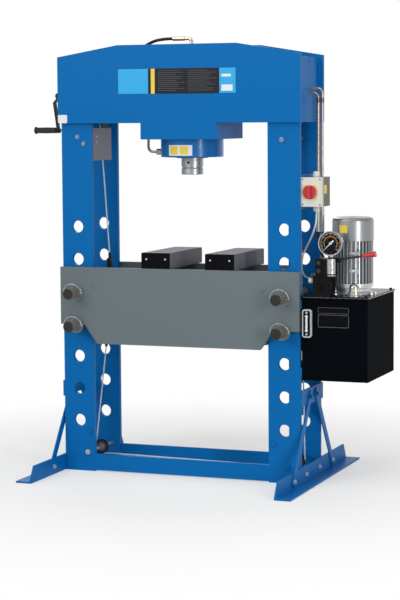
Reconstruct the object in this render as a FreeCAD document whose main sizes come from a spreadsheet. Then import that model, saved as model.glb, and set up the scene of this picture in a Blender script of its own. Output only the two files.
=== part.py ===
import FreeCAD, Part
import math
import os
import re
import Sketcher

# Electric workshop press: an H frame of flat bars with a bolster on pins, a cable winch
# and a power unit on its right side.  Millimetres, X right, Y back, Z up.  The origin is
# on the floor, midway between the columns.

Vector = FreeCAD.Vector
doc = FreeCAD.newDocument("Press")

sizes = {
    # columns, each of a front and a rear flat bar
    "column_span": 500, "flat_width": 150, "flat_thick": 20, "flat_face": 158.5,
    "column_top": 1880, "hole_pitch": 150, "hole_first": 237, "hole_radius": 28,
    # beam
    "beam_plate": 20, "beam_bottom": 1611, "beam_shoulder": 1913, "beam_top": 1963,
    "beam_flat_half": 285, "end_plate_thick": 12, "end_plate_inset": 10, "end_plate_top": 1903,
    "vent_radius": 6, "vent_z": 1880, "rib_thick": 12, "rib_top": 1900,
    # cylinder and ram
    "cyl_x": 8, "block_half": 182, "block_bottom": 1537, "barrel_radius": 144,
    "barrel_upper_radius": 133, "barrel_bottom": 1455, "barrel_top": 1885, "bore_radius": 108,
    "cap_thick": 60, "gland_radius": 84, "gland_depth": 60, "gland_lip": 5, "lip_thick": 15,
    "ram_radius": 50, "ram_stroke": 250, "ram_bottom": 1375, "nose_length": 66,
    "nose_groove": 31, "spigot_radius": 30, "piston_thick": 55, "screw_radius": 6,
    "screw_height": 55, "running_gap": 0.05, "body_gap": 0.3,
    # bolster
    "bolster_face": 186, "bolster_plate": 20, "bolster_top": 952, "bolster_bottom": 600,
    "spacer_thick": 18, "spacer_top": 926, "spacer_bottom": 620, "spacer_inner_x": 140,
    # press blocks
    "block_width": 140, "block_height": 72, "block_front": 180, "block_rear": 232,
    "left_block_x": -105, "right_block_x": 204, "lug_depth": 22, "lug_length": 300,
    "lug_width": 80, "end_hole_radius": 5, "end_hole_depth": 14, "end_hole_inset": 24,
    # pins
    "pin_radius": 25, "pin_front": 282, "pin_rear": 204, "washer_radius": 38, "washer_thick": 6,
    "clip_wire": 2.2, "clip_y": 226, "clip_reach": 44, "pin_chamfer": 4,
    # winch
    "winch_y": 33, "crank_z": 1739, "gear_module": 3, "pinion_teeth": 14, "gear_teeth": 52,
    "gear_thick": 10, "drum_radius": 29.7, "drum_flange": 55, "flange_thick": 4,
    "shaft_radius": 10, "winch_sheet": 5, "winch_rear": 92, "winch_rise": 46, "arm_width": 26,
    "arm_thick": 8, "arm_bend_z": 1707, "arm_foot_z": 1578, "grip_radius": 13.5,
    "grip_end_radius": 17, "grip_length": 112, "grip_gap": 7, "spindle_radius": 5,
    "guard_sheet": 4, "guard_front": 134.5, "guard_rear": 70, "guard_bottom": 1440,
    "guard_top": 1589, "guard_flange": 84,
    # ropes and pulleys
    "rope_radius": 3, "anchor_rise": 56, "pulley_pitch": 30, "pulley_rim": 34,
    "pulley_thick": 18, "hub_radius": 14, "hub_length": 52, "axle_radius": 8, "axle_reach": 168,
    "left_pulley_z": 89, "right_pulley_z": 74, "top_pulley_z": 1535, "socket_radius": 7,
    "socket_length": 34, "socket_clear": 1, "lower_drop": 54,
    # base
    "bar_bottom": 5, "bar_height": 75, "bar_thick": 12, "foot_half": 535, "foot_leg": 75,
    "foot_thick": 8, "foot_slant": 40, "brace_width": 34, "brace_thick": 6, "brace_foot_y": 290,
    "brace_foot_z": 36, "brace_top_y": 47, "brace_top_z": 381, "brace_end": 22,
    "tie_bottom": 347, "tie_top": 420, "web_thick": 8, "pad_height": 40,
    # fasteners
    "bolt_radius": 9, "bolt_head": 7, "boss_radius": 11.5, "sole_bolt_y": 100,
    "high_bolt_z": 1549, "low_bolt_z": 1517, "left_boss_z": 187, "right_boss_z": 176,
    # power unit
    "tank_gap": 8, "tank_front": 160, "tank_rear": 280, "tank_bottom": 470, "tank_top": 838,
    "tank_wall": 3, "lid_thick": 8, "lid_over": 4, "motor_y": 0, "flange_top": 884,
    "flange_radius": 90, "motor_radius": 76, "fin_radius": 90, "fin_thick": 3, "fin_count": 32,
    "motor_top": 1090, "cowl_radius": 92, "cowl_height": 99, "cowl_wall": 3,
    "terminal_size": 70, "valve_front": 158, "valve_rear": 78, "valve_top": 938,
    "manifold_front": 178, "manifold_rear": 98, "manifold_top": 1013, "lever_y": 135,
    "lever_z": 1007, "lever_boss": 11, "lever_rod": 5, "lever_reach": 176, "lever_rise": 9.5,
    "lever_grip": 13, "lever_neck": 6.5, "lever_grip_length": 62, "ear_thick": 5,
    "port_radius": 19.5, "gauge_y": 156, "gauge_z": 1082, "gauge_radius": 55, "gauge_depth": 32,
    "needle_length": 36, "filler_y": 118, "collar_radius": 33, "collar_height": 20,
    "filler_radius": 23, "filler_height": 35, "neck_radius": 17, "sight_bottom": 662,
    "sight_top": 788, "sight_depth": 14, "sight_round": 12, "sight_screw": 5,
    # switch
    "switch_front": 147, "switch_rear": -25, "switch_bottom": 1240, "switch_top": 1369,
    "knob_z": 1304, "knob_radius": 31, "knob_height": 24, "knob_plate": 31, "plate_thick": 2,
    "gland_y": 80, "gland_size": 17, "gland_length": 24, "gland_step": 2, "cover_screw": 3.5,
    "cover_inset": 9, "plug_reach": 14, "plug_half": 15, "plug_z": 915, "plug_height": 34,
    # pipes and hoses
    "pipe_radius": 6, "pipe_y": 35, "near_pipe_z": 1740, "far_pipe_z": 1760, "pipe_foot": 1229,
    "pipe_rear": 147, "pipe_crossing": 100, "pipe_bend": 22, "union_radius": 9, "union_length": 20,
    "return_x": -208,
    "return_z": 1478, "hose_x": -300, "hose_start": 1815, "ferrule_radius": 9,
    "ferrule_length": 110, "hose_radius": 7, "fitting_radius": 14, "nut_length": 30,
    "elbow_z": 1994, "elbow_left": -24, "elbow_radius": 8, "top_ferrule": 58, "near_end_z": 975,
    "far_end_z": 995, "cable_radius": 4, "cable_high": 990,
}

# what keeps its distance from a column's middle, as that distance
from_right_column = {
    "rope_anchor_x": -90.5, "right_pulley_x": 15, "top_pulley_x": -8, "right_boss_x": -52,
    "tank_right": 385, "motor_x": 272, "valve_left": 132, "valve_right": 214,
    "manifold_left": 150, "manifold_right": 228, "lever_x": 241, "gauge_x": 222,
    "filler_x": 312, "sight_left": 88, "sight_right": 132, "switch_right": 172, "knob_x": 118,
    "gland_x": 127, "near_pipe_x": 100, "far_pipe_x": 119, "near_end_x": 164, "far_end_x": 190,
    "cable_low": 57, "bolster_half": 78, "bolster_end_half": -42, "bolster_foot_half": -105,
    "spacer_x": -91, "beam_half": 84,
}
from_left_column = {
    "gear_x": -37, "drum_left": -22, "drum_right": 58.5, "winch_left": -45, "winch_right": 65,
    "arm_top_x": -178, "arm_bend_x": -197, "arm_foot_x": -177, "guard_x": 75, "rope_top_x": 47,
    "left_pulley_x": 40.4, "lower_anchor_x": 68, "high_bolt_x": 4, "low_bolt_x": 35,
    "left_boss_x": 53,
}

sheet = doc.addObject("Spreadsheet::Sheet", "Sizes")
for column, hung in (("column_span", from_right_column), ("-column_span", from_left_column)):
    for alias, distance in hung.items():
        sizes[alias + "_gap"] = distance
        sizes[alias] = "=%s + %s_gap" % (column, alias)
for row, (alias, size) in enumerate(sizes.items(), 1):
    sheet.set("A%d" % row, alias)
    sheet.set("B%d" % row, str(size))
    sheet.setAlias("B%d" % row, alias)
doc.recompute()


def bound(expression):
    """An expression in the sheet's aliases, as FreeCAD reads it."""
    def full(word):
        return "Sizes." + word.group(0) if word.group(0) in sizes else word.group(0)
    return re.sub(r"[a-z_]+", full, str(expression))


def value(expression):
    """What an expression comes to now, in millimetres."""
    return float(sheet.evalExpression(bound(expression)))


def point(x, y, z):
    return Vector(value(x), value(y), value(z))


TURNS = {
    "Z": FreeCAD.Rotation(),
    "-Z": FreeCAD.Rotation(Vector(1, 0, 0), 180),
    "X": FreeCAD.Rotation(Vector(0, 1, 0), 90),
    "-X": FreeCAD.Rotation(Vector(0, 1, 0), -90),
    "Y": FreeCAD.Rotation(Vector(1, 0, 0), -90),
    "-Y": FreeCAD.Rotation(Vector(1, 0, 0), 90),
}


def place(thing, x, y, z, axis="Z"):
    """Sets a thing's turn and binds its place to the sheet."""
    thing.Placement = FreeCAD.Placement(Vector(), TURNS[axis])
    for name, expression in (("x", x), ("y", y), ("z", z)):
        thing.setExpression("Placement.Base." + name, bound(expression))
    return thing


def slab(name, xs, ys, zs):
    """A box from its low and high expressions along each axis."""
    box = doc.addObject("Part::Box", name)
    for side, (low, high) in zip(("Length", "Width", "Height"), (xs, ys, zs)):
        box.setExpression(side, bound("(%s) - (%s)" % (high, low)))
    return place(box, xs[0], ys[0], zs[0])


def rod(name, radius, length, start, axis="Z"):
    """A cylinder from its start point along an axis."""
    cylinder = doc.addObject("Part::Cylinder", name)
    cylinder.setExpression("Radius", bound(radius))
    cylinder.setExpression("Height", bound(length))
    return place(cylinder, *start, axis=axis)


def hexagon(name, radius, height, start, axis="Z"):
    """A bolt head or nut."""
    prism = doc.addObject("Part::Prism", name)
    prism.Polygon = 6
    prism.setExpression("Circumradius", bound(radius))
    prism.setExpression("Height", bound(height))
    return place(prism, *start, axis=axis)


def join(name, parts):
    fused = doc.addObject("Part::MultiFuse", name)
    fused.Shapes = parts
    return fused


def cut(name, base, tools):
    result = doc.addObject("Part::Cut", name)
    result.Base = base
    result.Tool = tools[0] if len(tools) == 1 else group(name + "_tools", tools)
    return result


def group(name, parts):
    """Separate solids kept together."""
    compound = doc.addObject("Part::Compound", name)
    compound.Links = parts
    return compound


def feature(name, shape):
    """A solid that only Part's own functions can make."""
    thing = doc.addObject("Part::Feature", name)
    thing.Shape = shape
    return thing


def mirrored(side, low, high):
    """Low and high X of something on the right (1) or, mirrored, on the left (-1)."""
    return (low, high) if side > 0 else ("-(%s)" % high, "-(%s)" % low)


def outline_sketch(body, name, plane, corners, holes=()):
    """A closed outline and its round holes, every point bound to the sheet."""
    sketch = body.newObject("Sketcher::SketchObject", name)
    origin_plane = next(o for o in body.Origin.OriginFeatures if o.Role == plane)
    sketch.AttachmentSupport = (origin_plane, "")
    sketch.MapMode = "FlatFace"
    spots = [Vector(value(x), value(y), 0) for x, y in corners]
    for first, second in zip(spots, spots[1:] + spots[:1]):
        sketch.addGeometry(Part.LineSegment(first, second))
    for index in range(len(spots)):
        following = (index + 1) % len(spots)
        sketch.addConstraint(Sketcher.Constraint("Coincident", index, 2, following, 1))

    def fix(kind, geometry, vertex, expression):
        constraint = Sketcher.Constraint(kind, -1, 1, geometry, vertex, value(expression))
        number = sketch.addConstraint(constraint)
        sketch.setExpression("Constraints[%d]" % number, bound(expression))

    for index, (x, y) in enumerate(corners):
        fix("DistanceX", index, 1, x)
        fix("DistanceY", index, 1, y)
    for x, y, radius in holes:
        circle = Part.Circle(Vector(value(x), value(y), 0), Vector(0, 0, 1), value(radius))
        edge = sketch.addGeometry(circle)
        fix("DistanceX", edge, 3, x)
        fix("DistanceY", edge, 3, y)
        number = sketch.addConstraint(Sketcher.Constraint("Radius", edge, value(radius)))
        sketch.setExpression("Constraints[%d]" % number, bound(radius))
    return sketch


def plate(name, plane, corners, thick, at, holes=()):
    """A flat plate: an outline padded by its thickness.  XZ_Plane pads towards -Y."""
    body = doc.addObject("PartDesign::Body", name)
    sketch = outline_sketch(body, name + "_outline", plane, corners, holes)
    pad = body.newObject("PartDesign::Pad", name + "_pad")
    pad.Profile = sketch
    pad.setExpression("Length", bound(thick))
    return place(body, *at)


def turned(name, profile, at, axis="Z"):
    """A turned piece: a profile of (radius, height) spun about its own axis."""
    body = doc.addObject("PartDesign::Body", name)
    sketch = outline_sketch(body, name + "_profile", "XZ_Plane", profile)
    spin = body.newObject("PartDesign::Revolution", name + "_spin")
    spin.Profile = sketch
    spin.ReferenceAxis = (sketch, ["V_Axis"])
    spin.Angle = 360
    return place(body, *at, axis=axis)


def rounded_path(points, bend=None):
    """Straight runs joined by tangent arcs, of one bend radius or as large as fits."""
    corners = [Vector(*p) for p in points]
    edges = []
    radii = []
    start = corners[0]
    for before, corner, after in zip(corners, corners[1:], corners[2:]):
        inward = (before - corner).normalize()
        outward = (after - corner).normalize()
        half_turn = (math.pi - inward.getAngle(outward)) / 2
        if bend is None:
            shorter = min((before - corner).Length, (after - corner).Length)
            radius = 0.45 * shorter / math.tan(half_turn)
        else:
            radius = bend
        reach = radius * math.tan(half_turn)
        first = corner + inward * reach
        last = corner + outward * reach
        middle_way = (inward + outward).normalize()
        middle = corner + middle_way * (radius / math.cos(half_turn) - radius)
        edges.append(Part.LineSegment(start, first).toShape())
        edges.append(Part.Arc(first, middle, last).toShape())
        radii.append(radius)
        start = last
    edges.append(Part.LineSegment(start, corners[-1]).toShape())
    return Part.Wire(edges), radii


def tube(name, wire, radius, radii=()):
    """A round tube along a wire, with its volume compared with section times length."""
    first = wire.Edges[0]
    start = first.valueAt(first.FirstParameter)
    along = first.tangentAt(first.FirstParameter)
    section = Part.Wire(Part.Circle(start, along, radius).toShape())
    solid = wire.makePipeShell([section], True, False)
    expected = math.pi * radius ** 2 * wire.Length
    print("%s: length %.0f, radii %s, volume ratio %.4f" % (
        name, wire.Length, [round(r) for r in radii], solid.Volume / expected))
    return feature(name, solid)


# ---------------------------------------------------------------- columns
outer_edge = "column_span + flat_width / 2"
inner_edge = "column_span - flat_width / 2"
flat_inside = "flat_face - flat_thick"
axle_spots = {
    -1: [("left_pulley_x", "left_pulley_z")],
    1: [("right_pulley_x", "right_pulley_z"), ("top_pulley_x", "top_pulley_z")],
}


def column_flat(name, side, front):
    """One flat bar of a column, with its pin holes and its pulley axle holes."""
    low, high = mirrored(side, inner_edge, outer_edge)
    corners = [(low, "0"), (high, "0"), (high, "column_top"), (low, "column_top")]
    holes = [("%d * column_span" % side, "hole_first + %d * hole_pitch" % level,
              "hole_radius") for level in range(7)]
    holes += [(x, z, "axle_radius + running_gap") for x, z in axle_spots[side]]
    y = "-(%s)" % flat_inside if front else "flat_face"
    return plate(name, "XZ_Plane", corners, "flat_thick", ("0", y, "0"), holes)


nodes = []
for side, hand in ((-1, "left"), (1, "right")):
    nodes.append(column_flat(hand + "_front_flat", side, True))
    nodes.append(column_flat(hand + "_rear_flat", side, False))

# ---------------------------------------------------------------- beam
beam_outline = [
    ("-beam_half", "beam_bottom"), ("beam_half", "beam_bottom"),
    ("beam_half", "beam_shoulder"), ("beam_flat_half", "beam_top"),
    ("-beam_flat_half", "beam_top"), ("-beam_half", "beam_shoulder"),
]
nodes.append(plate("beam_front_plate", "XZ_Plane", beam_outline, "beam_plate",
                   ("0", "-flat_face", "0")))
nodes.append(plate("beam_rear_plate", "XZ_Plane", beam_outline, "beam_plate",
                   ("0", "flat_face + beam_plate", "0")))


def end_plate(name, side):
    """A beam end plate between the flats, drilled for what passes and for air."""
    corners = [
        ("-(%s)" % flat_inside, "beam_bottom"), (flat_inside, "beam_bottom"),
        (flat_inside, "end_plate_top"), ("-(%s)" % flat_inside, "end_plate_top"),
    ]
    if side < 0:
        holes = [("winch_y", "crank_z", "shaft_radius + 3")]
    else:
        holes = [("pipe_y", z, "pipe_radius + 2") for z in ("near_pipe_z", "far_pipe_z")]
    holes.append(("0", "vent_z", "vent_radius"))
    inner = "%s - end_plate_inset - end_plate_thick" % outer_edge
    outer = "%s - end_plate_inset" % outer_edge
    low = mirrored(side, inner, outer)[0]
    return plate(name, "YZ_Plane", corners, "end_plate_thick", (low, "0", "0"), holes)


def beam_rib(name, side):
    """An inner rib beside the cylinder, drilled for the pipes."""
    corners = [("-flat_face", "beam_bottom"), ("flat_face", "beam_bottom"),
               ("flat_face", "rib_top"), ("-flat_face", "rib_top")]
    holes = [("pipe_rear", z, "pipe_radius + 2") for z in ("near_pipe_z", "far_pipe_z")]
    x = "cyl_x + block_half" if side > 0 else "cyl_x - block_half - rib_thick"
    return plate(name, "YZ_Plane", corners, "rib_thick", (x, "0", "0"), holes)


nodes.append(group("beam_end_plates", [end_plate("left_end_plate", -1),
                                       end_plate("right_end_plate", 1)]))
nodes.append(group("beam_ribs", [beam_rib("left_rib", -1), beam_rib("right_rib", 1)]))

# ---------------------------------------------------------------- cylinder
beam_face = "flat_face + beam_plate"
block_body = slab("block_body", ("cyl_x - block_half", "cyl_x + block_half"),
                  ("-(%s)" % beam_face, beam_face), ("block_bottom", "beam_bottom"))
block_bore = rod("block_bore", "barrel_radius", "beam_bottom - block_bottom",
                 ("cyl_x", "0", "block_bottom"))
nodes.append(cut("cylinder_block", block_body, [block_bore]))

gland_top = "barrel_bottom + gland_depth"
chamber_bottom = "barrel_bottom + gland_depth + lip_thick"
nodes.append(turned("cylinder_barrel", [
    ("gland_radius", "barrel_bottom"), ("barrel_radius - 3", "barrel_bottom"),
    ("barrel_radius", "barrel_bottom + 3"), ("barrel_radius", "beam_bottom"),
    ("barrel_upper_radius", "beam_bottom"), ("barrel_upper_radius", "barrel_top"),
    ("bore_radius", "barrel_top"), ("bore_radius", chamber_bottom),
    ("ram_radius + 5", chamber_bottom), ("ram_radius + 5", gland_top),
    ("gland_radius", gland_top),
], ("cyl_x", "0", "0")))
nodes.append(turned("gland_nut", [
    ("ram_radius + running_gap", "barrel_bottom - gland_lip"),
    ("gland_radius - 12", "barrel_bottom - gland_lip"),
    ("gland_radius - 12", "barrel_bottom"), ("gland_radius", "barrel_bottom"),
    ("gland_radius", gland_top), ("ram_radius + running_gap", gland_top),
], ("cyl_x", "0", "0")))
nodes.append(turned("cylinder_cap", [
    ("0", "barrel_top"), ("barrel_upper_radius", "barrel_top"),
    ("barrel_upper_radius", "barrel_top + cap_thick - 4"),
    ("barrel_upper_radius - 4", "barrel_top + cap_thick"), ("0", "barrel_top + cap_thick"),
], ("cyl_x", "0", "0")))

# ---------------------------------------------------------------- ram
nose_top = "ram_bottom + nose_length"
piston_top = "barrel_top - 5"
nodes.append(turned("ram", [
    ("0", "ram_bottom + 14"), ("spigot_radius", "ram_bottom + 14"),
    ("spigot_radius", nose_top), ("ram_radius", nose_top),
    ("ram_radius", piston_top + " - piston_thick"),
    ("bore_radius - running_gap", piston_top + " - piston_thick"),
    ("bore_radius - running_gap", piston_top), ("0", piston_top),
], ("cyl_x", "0", "0")))
nose_blank = turned("nose_blank", [
    ("0", "0"), ("ram_radius - 2", "0"), ("ram_radius", "2"), ("ram_radius", "nose_groove - 4"),
    ("ram_radius - 4", "nose_groove - 2"), ("ram_radius - 4", "nose_groove + 2"),
    ("ram_radius", "nose_groove + 4"), ("ram_radius", "nose_length"),
    ("spigot_radius", "nose_length"), ("spigot_radius", "14"), ("0", "14"),
], ("cyl_x", "0", "ram_bottom"))
screw_start = ("cyl_x", "-ram_radius - 1", "ram_bottom + screw_height")
screw_hole = rod("screw_hole", "screw_radius", "ram_radius - spigot_radius + 1",
                 screw_start, "Y")
screw_body = rod("screw_body", "screw_radius", "ram_radius - spigot_radius - 5",
                 ("cyl_x", "-ram_radius + 5", "ram_bottom + screw_height"), "Y")
screw_key = hexagon("screw_key", "screw_radius / 2", "5",
                    ("cyl_x", "-ram_radius + 5", "ram_bottom + screw_height"), "Y")
nodes.append(group("ram_nose", [cut("nose_drilled", nose_blank, [screw_hole]),
                                cut("nose_set_screw", screw_body, [screw_key])]))

# ---------------------------------------------------------------- bolster
# The column holes' lower edges carry the pins, and the bolster hangs on the pins.
slack = "hole_radius - pin_radius - body_gap"
pin_lower_z = "hole_first + 3 * hole_pitch - (%s)" % slack
pin_upper_z = "hole_first + 4 * hole_pitch - (%s)" % slack
bolster_inside = "bolster_face - bolster_plate"


def bolster_blank(name, y):
    corners = [
        ("-bolster_foot_half", "bolster_bottom"), ("bolster_foot_half", "bolster_bottom"),
        ("bolster_end_half", "hole_first + 3 * hole_pitch"),
        ("bolster_half", "hole_first + 3 * hole_pitch"), ("bolster_half", "bolster_top"),
        ("-bolster_half", "bolster_top"), ("-bolster_half", "hole_first + 3 * hole_pitch"),
        ("-bolster_end_half", "hole_first + 3 * hole_pitch"),
    ]
    upper = "%s - (%s)" % (pin_upper_z, slack)
    holes = [("%d * column_span" % side, upper, "hole_radius") for side in (-1, 1)]
    return plate(name, "XZ_Plane", corners, "bolster_plate", ("0", y, "0"), holes)


def bolster_side(name, y):
    """A bolster plate: saddles at its lower edge sit on the lower pins."""
    blank = bolster_blank(name + "_blank", y)
    saddles = [rod("%s_saddle_%d" % (name, number), "hole_radius", "bolster_plate + 2",
                   ("%d * column_span" % side, "%s + 1" % y,
                    "%s - (%s)" % (pin_lower_z, slack)), "-Y")
               for number, side in enumerate((-1, 1))]
    return cut(name, blank, saddles)


nodes.append(bolster_side("bolster_front_plate", "-(%s)" % bolster_inside))
nodes.append(bolster_side("bolster_rear_plate", "bolster_face"))


def spacer(name, x):
    return slab(name, ("%s - spacer_thick / 2" % x, "%s + spacer_thick / 2" % x),
                ("-(%s)" % bolster_inside, bolster_inside), ("spacer_bottom", "spacer_top"))


nodes.append(group("bolster_spacers", [
    spacer("spacer_%d" % number, x) for number, x in enumerate(
        ("-spacer_x", "-spacer_inner_x", "spacer_inner_x", "spacer_x"))]))


def press_block(name, x):
    """A loose block on the bolster, with a lug between the plates and drilled ends."""
    top = slab(name + "_top", ("%s - block_width / 2" % x, "%s + block_width / 2" % x),
               ("-block_front", "block_rear"), ("bolster_top", "bolster_top + block_height"))
    top.recompute()
    edged = doc.addObject("Part::Chamfer", name + "_edged")
    edged.Base = top
    long_edges = []
    for number, edge in enumerate(top.Shape.Edges, 1):
        box = edge.BoundBox
        upper = box.ZMin > value("bolster_top + 1")
        if upper and box.YLength > 1:
            long_edges.append((number, 3, 3))
    edged.Edges = long_edges
    lug = slab(name + "_lug", ("%s - lug_width / 2" % x, "%s + lug_width / 2" % x),
               ("-lug_length / 2", "lug_length / 2"), ("bolster_top - lug_depth", "bolster_top"))
    holes = [rod("%s_hole_%d" % (name, number), "end_hole_radius", "end_hole_depth + 1",
                 ("%s + %d * (block_width / 2 - end_hole_inset)" % (x, side),
                  "-block_front - 1", "bolster_top + block_height * 0.6"), "Y")
             for number, side in enumerate((-1, 1))]
    return cut(name, join(name + "_whole", [edged, lug]), holes)


nodes.append(press_block("press_block_left", "left_block_x"))
nodes.append(press_block("press_block_right", "right_block_x"))


def pin(name, side, z):
    """A bolster pin with its washer and the wire clip through its front end."""
    x = "%d * column_span" % side
    length = "pin_front + pin_rear"
    shank = turned(name + "_shank", [
        ("0", "0"), ("pin_radius - pin_chamfer", "0"), ("pin_radius", "pin_chamfer"),
        ("pin_radius", length + " - pin_chamfer"),
        ("pin_radius - pin_chamfer", length), ("0", length),
    ], (x, "-pin_front", z), "Y")
    cross = rod(name + "_cross_hole", "clip_wire + 0.3", "2 * pin_radius + 2",
                ("%s - pin_radius - 1" % x, "-clip_y", z), "X")
    washer = turned(name + "_washer", [
        ("pin_radius + 0.2", "0"), ("washer_radius", "0"), ("washer_radius", "washer_thick"),
        ("pin_radius + 0.2", "washer_thick"),
    ], (x, "-bolster_face - body_gap - washer_thick", z), "Y")
    centre = point(x, "-clip_y", z)
    reach = value("clip_reach")
    lift = Vector(0, -0.25, 0.97).normalize() * reach
    ends = [centre - Vector(reach, 0, 0), centre + Vector(reach, 0, 0)]
    bail = Part.Wire([Part.LineSegment(ends[0], ends[1]).toShape()])
    wire = value("clip_wire")
    bar = Part.makeCylinder(wire, 2 * reach, ends[0], Vector(1, 0, 0))
    arc = Part.Wire([Part.Arc(ends[0], centre + lift, ends[1]).toShape()])
    along = arc.Edges[0].tangentAt(arc.Edges[0].FirstParameter)
    loop = arc.makePipeShell([Part.Wire(Part.Circle(ends[0], along, wire).toShape())],
                             True, False)
    knobs = [Part.makeSphere(wire * 1.3, end) for end in ends]
    clip = feature(name + "_clip", bar.multiFuse([loop] + knobs))
    return group(name, [cut(name + "_drilled", shank, [cross]), washer, clip])


for hand, side in (("left", -1), ("right", 1)):
    nodes.append(pin("upper_%s_pin" % hand, side, pin_upper_z))
    nodes.append(pin("lower_%s_pin" % hand, side, pin_lower_z))

# ---------------------------------------------------------------- winch
TO_X = FreeCAD.Rotation(Vector(1, 1, 1), 120)


def gear(teeth, module, thick, first_tooth):
    """A spur gear with involute flanks, its axis along Z, one tooth at first_tooth."""
    pressure = math.radians(20)
    pitch = module * teeth / 2
    base = pitch * math.cos(pressure)
    tip = pitch + 0.8 * module
    root = pitch - 1.2 * module
    backlash = 0.2 * module

    def involute(radius):
        angle = math.acos(min(1, base / radius))
        return math.tan(angle) - angle

    def spot(radius, angle):
        return Vector(radius * math.cos(angle), radius * math.sin(angle), 0)

    half_tooth = math.pi / (2 * teeth) - backlash / (2 * pitch) + involute(pitch)
    low = max(base, root) + 0.01
    levels = (low, (low + tip) / 2, tip)
    step = 2 * math.pi / teeth
    edges = []
    for tooth in range(teeth):
        middle = first_tooth + tooth * step
        rising = [spot(r, middle - half_tooth + involute(r)) for r in levels]
        falling = [spot(r, middle + half_tooth - involute(r)) for r in reversed(levels)]
        foot = spot(root, middle - half_tooth)
        heel = spot(root, middle + half_tooth)
        following = spot(root, middle + step - half_tooth)
        edges.append(Part.LineSegment(foot, rising[0]).toShape())
        edges.append(Part.Arc(*rising).toShape())
        edges.append(Part.Arc(rising[-1], spot(tip, middle), falling[0]).toShape())
        edges.append(Part.Arc(*falling).toShape())
        edges.append(Part.LineSegment(falling[-1], heel).toShape())
        edges.append(Part.Arc(heel, spot(root, middle + step / 2), following).toShape())
    return Part.Face(Part.Wire(edges)).extrude(Vector(0, 0, thick))


def geared(name, teeth, first_tooth, z):
    """A gear solid placed on its axle along X."""
    solid = gear(int(value(teeth)), value("gear_module"), value("gear_thick"), first_tooth)
    thing = feature(name, solid)
    thing.Placement = FreeCAD.Placement(point("gear_x", "winch_y", z), TO_X)
    return thing


drum_z = "crank_z - gear_module * (pinion_teeth + gear_teeth) / 2"
up = math.pi / 2
half_step = math.pi / value("pinion_teeth")
drum_axle = rod("drum_axle", "shaft_radius", "winch_right - winch_left + 6",
                ("winch_left - 3", "winch_y", drum_z), "X")
drum_body = turned("drum_body", [
    ("0", "0"), ("drum_flange", "0"), ("drum_flange", "flange_thick"),
    ("drum_radius", "flange_thick"), ("drum_radius", "drum_right - drum_left - flange_thick"),
    ("drum_flange", "drum_right - drum_left - flange_thick"),
    ("drum_flange", "drum_right - drum_left"), ("0", "drum_right - drum_left"),
], ("drum_left", "winch_y", drum_z), "X")
drum_hub = rod("drum_hub", "shaft_radius + 6", "drum_left - gear_x",
               ("gear_x", "winch_y", drum_z), "X")
nodes.append(join("winch_drum", [drum_axle, drum_body, drum_hub,
                                 geared("drum_gear", "gear_teeth", up, drum_z)]))

arm_half = "arm_thick / 2"
crank_arm = plate("crank_arm", "XZ_Plane", [
    ("arm_top_x - (%s)" % arm_half, "crank_z + arm_width / 2"),
    ("arm_top_x - (%s)" % arm_half, "crank_z - 10"),
    ("arm_bend_x - (%s)" % arm_half, "arm_bend_z"),
    ("arm_foot_x - (%s)" % arm_half, "arm_foot_z - arm_width / 2"),
    ("arm_foot_x + (%s)" % arm_half, "arm_foot_z - arm_width / 2"),
    ("arm_bend_x + (%s)" % arm_half, "arm_bend_z"),
    ("arm_top_x + (%s)" % arm_half, "crank_z - 10"),
    ("arm_top_x + (%s)" % arm_half, "crank_z + arm_width / 2"),
], "arm_width", ("0", "winch_y + arm_width / 2", "0"))
crank_shaft = rod("crank_shaft", "shaft_radius", "winch_right + 3 - arm_top_x",
                  ("arm_top_x", "winch_y", "crank_z"), "X")
crank_nut = hexagon("crank_nut", "shaft_radius + 2", "8",
                    ("arm_top_x - (%s) + 0.5" % arm_half, "winch_y", "crank_z"), "-X")
spindle = rod("spindle", "spindle_radius", "arm_thick + grip_gap + grip_length - 2",
              ("arm_foot_x + (%s)" % arm_half, "winch_y", "arm_foot_z"), "-X")
spindle_head = rod("spindle_head", "spindle_radius + 3", "5",
                   ("arm_foot_x + (%s)" % arm_half, "winch_y", "arm_foot_z"), "X")
nodes.append(join("winch_crank", [
    crank_arm, crank_shaft, crank_nut, spindle, spindle_head,
    geared("crank_pinion", "pinion_teeth", -up + half_step, "crank_z")]))

grip_bore = "spindle_radius + running_gap * 2"
nodes.append(turned("crank_grip", [
    (grip_bore, "0"), ("grip_radius - 1.5", "0"), ("grip_radius", "3"),
    ("grip_radius + 0.8", "grip_length / 2"), ("grip_radius", "grip_length - 12"),
    ("grip_end_radius", "grip_length - 7"), ("grip_end_radius", "grip_length - 2"),
    ("grip_end_radius - 3", "grip_length"), (grip_bore, "grip_length"),
], ("arm_foot_x - (%s) - grip_gap" % arm_half, "winch_y", "arm_foot_z"), "-X"))

bearing = "shaft_radius + running_gap"
winch_top = "crank_z + winch_rise"


def winch_side(name, x):
    """One cheek of the winch frame, bored for the drum and crank shafts."""
    corners = [("-(%s)" % flat_inside, "beam_bottom"), ("winch_rear", "beam_bottom"),
               ("winch_rear", winch_top), ("-(%s)" % flat_inside, winch_top)]
    holes = [("winch_y", drum_z, bearing), ("winch_y", "crank_z", bearing)]
    return plate(name, "YZ_Plane", corners, "winch_sheet", (x, "0", "0"), holes)


winch_back = slab("winch_back", ("winch_left", "winch_right"),
                  ("-(%s)" % flat_inside, "-(%s) + winch_sheet" % flat_inside),
                  ("beam_bottom", winch_top))
nodes.append(join("winch_frame", [
    winch_side("winch_outer_cheek", "winch_left"),
    winch_side("winch_inner_cheek", "winch_right - winch_sheet"), winch_back]))

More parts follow.
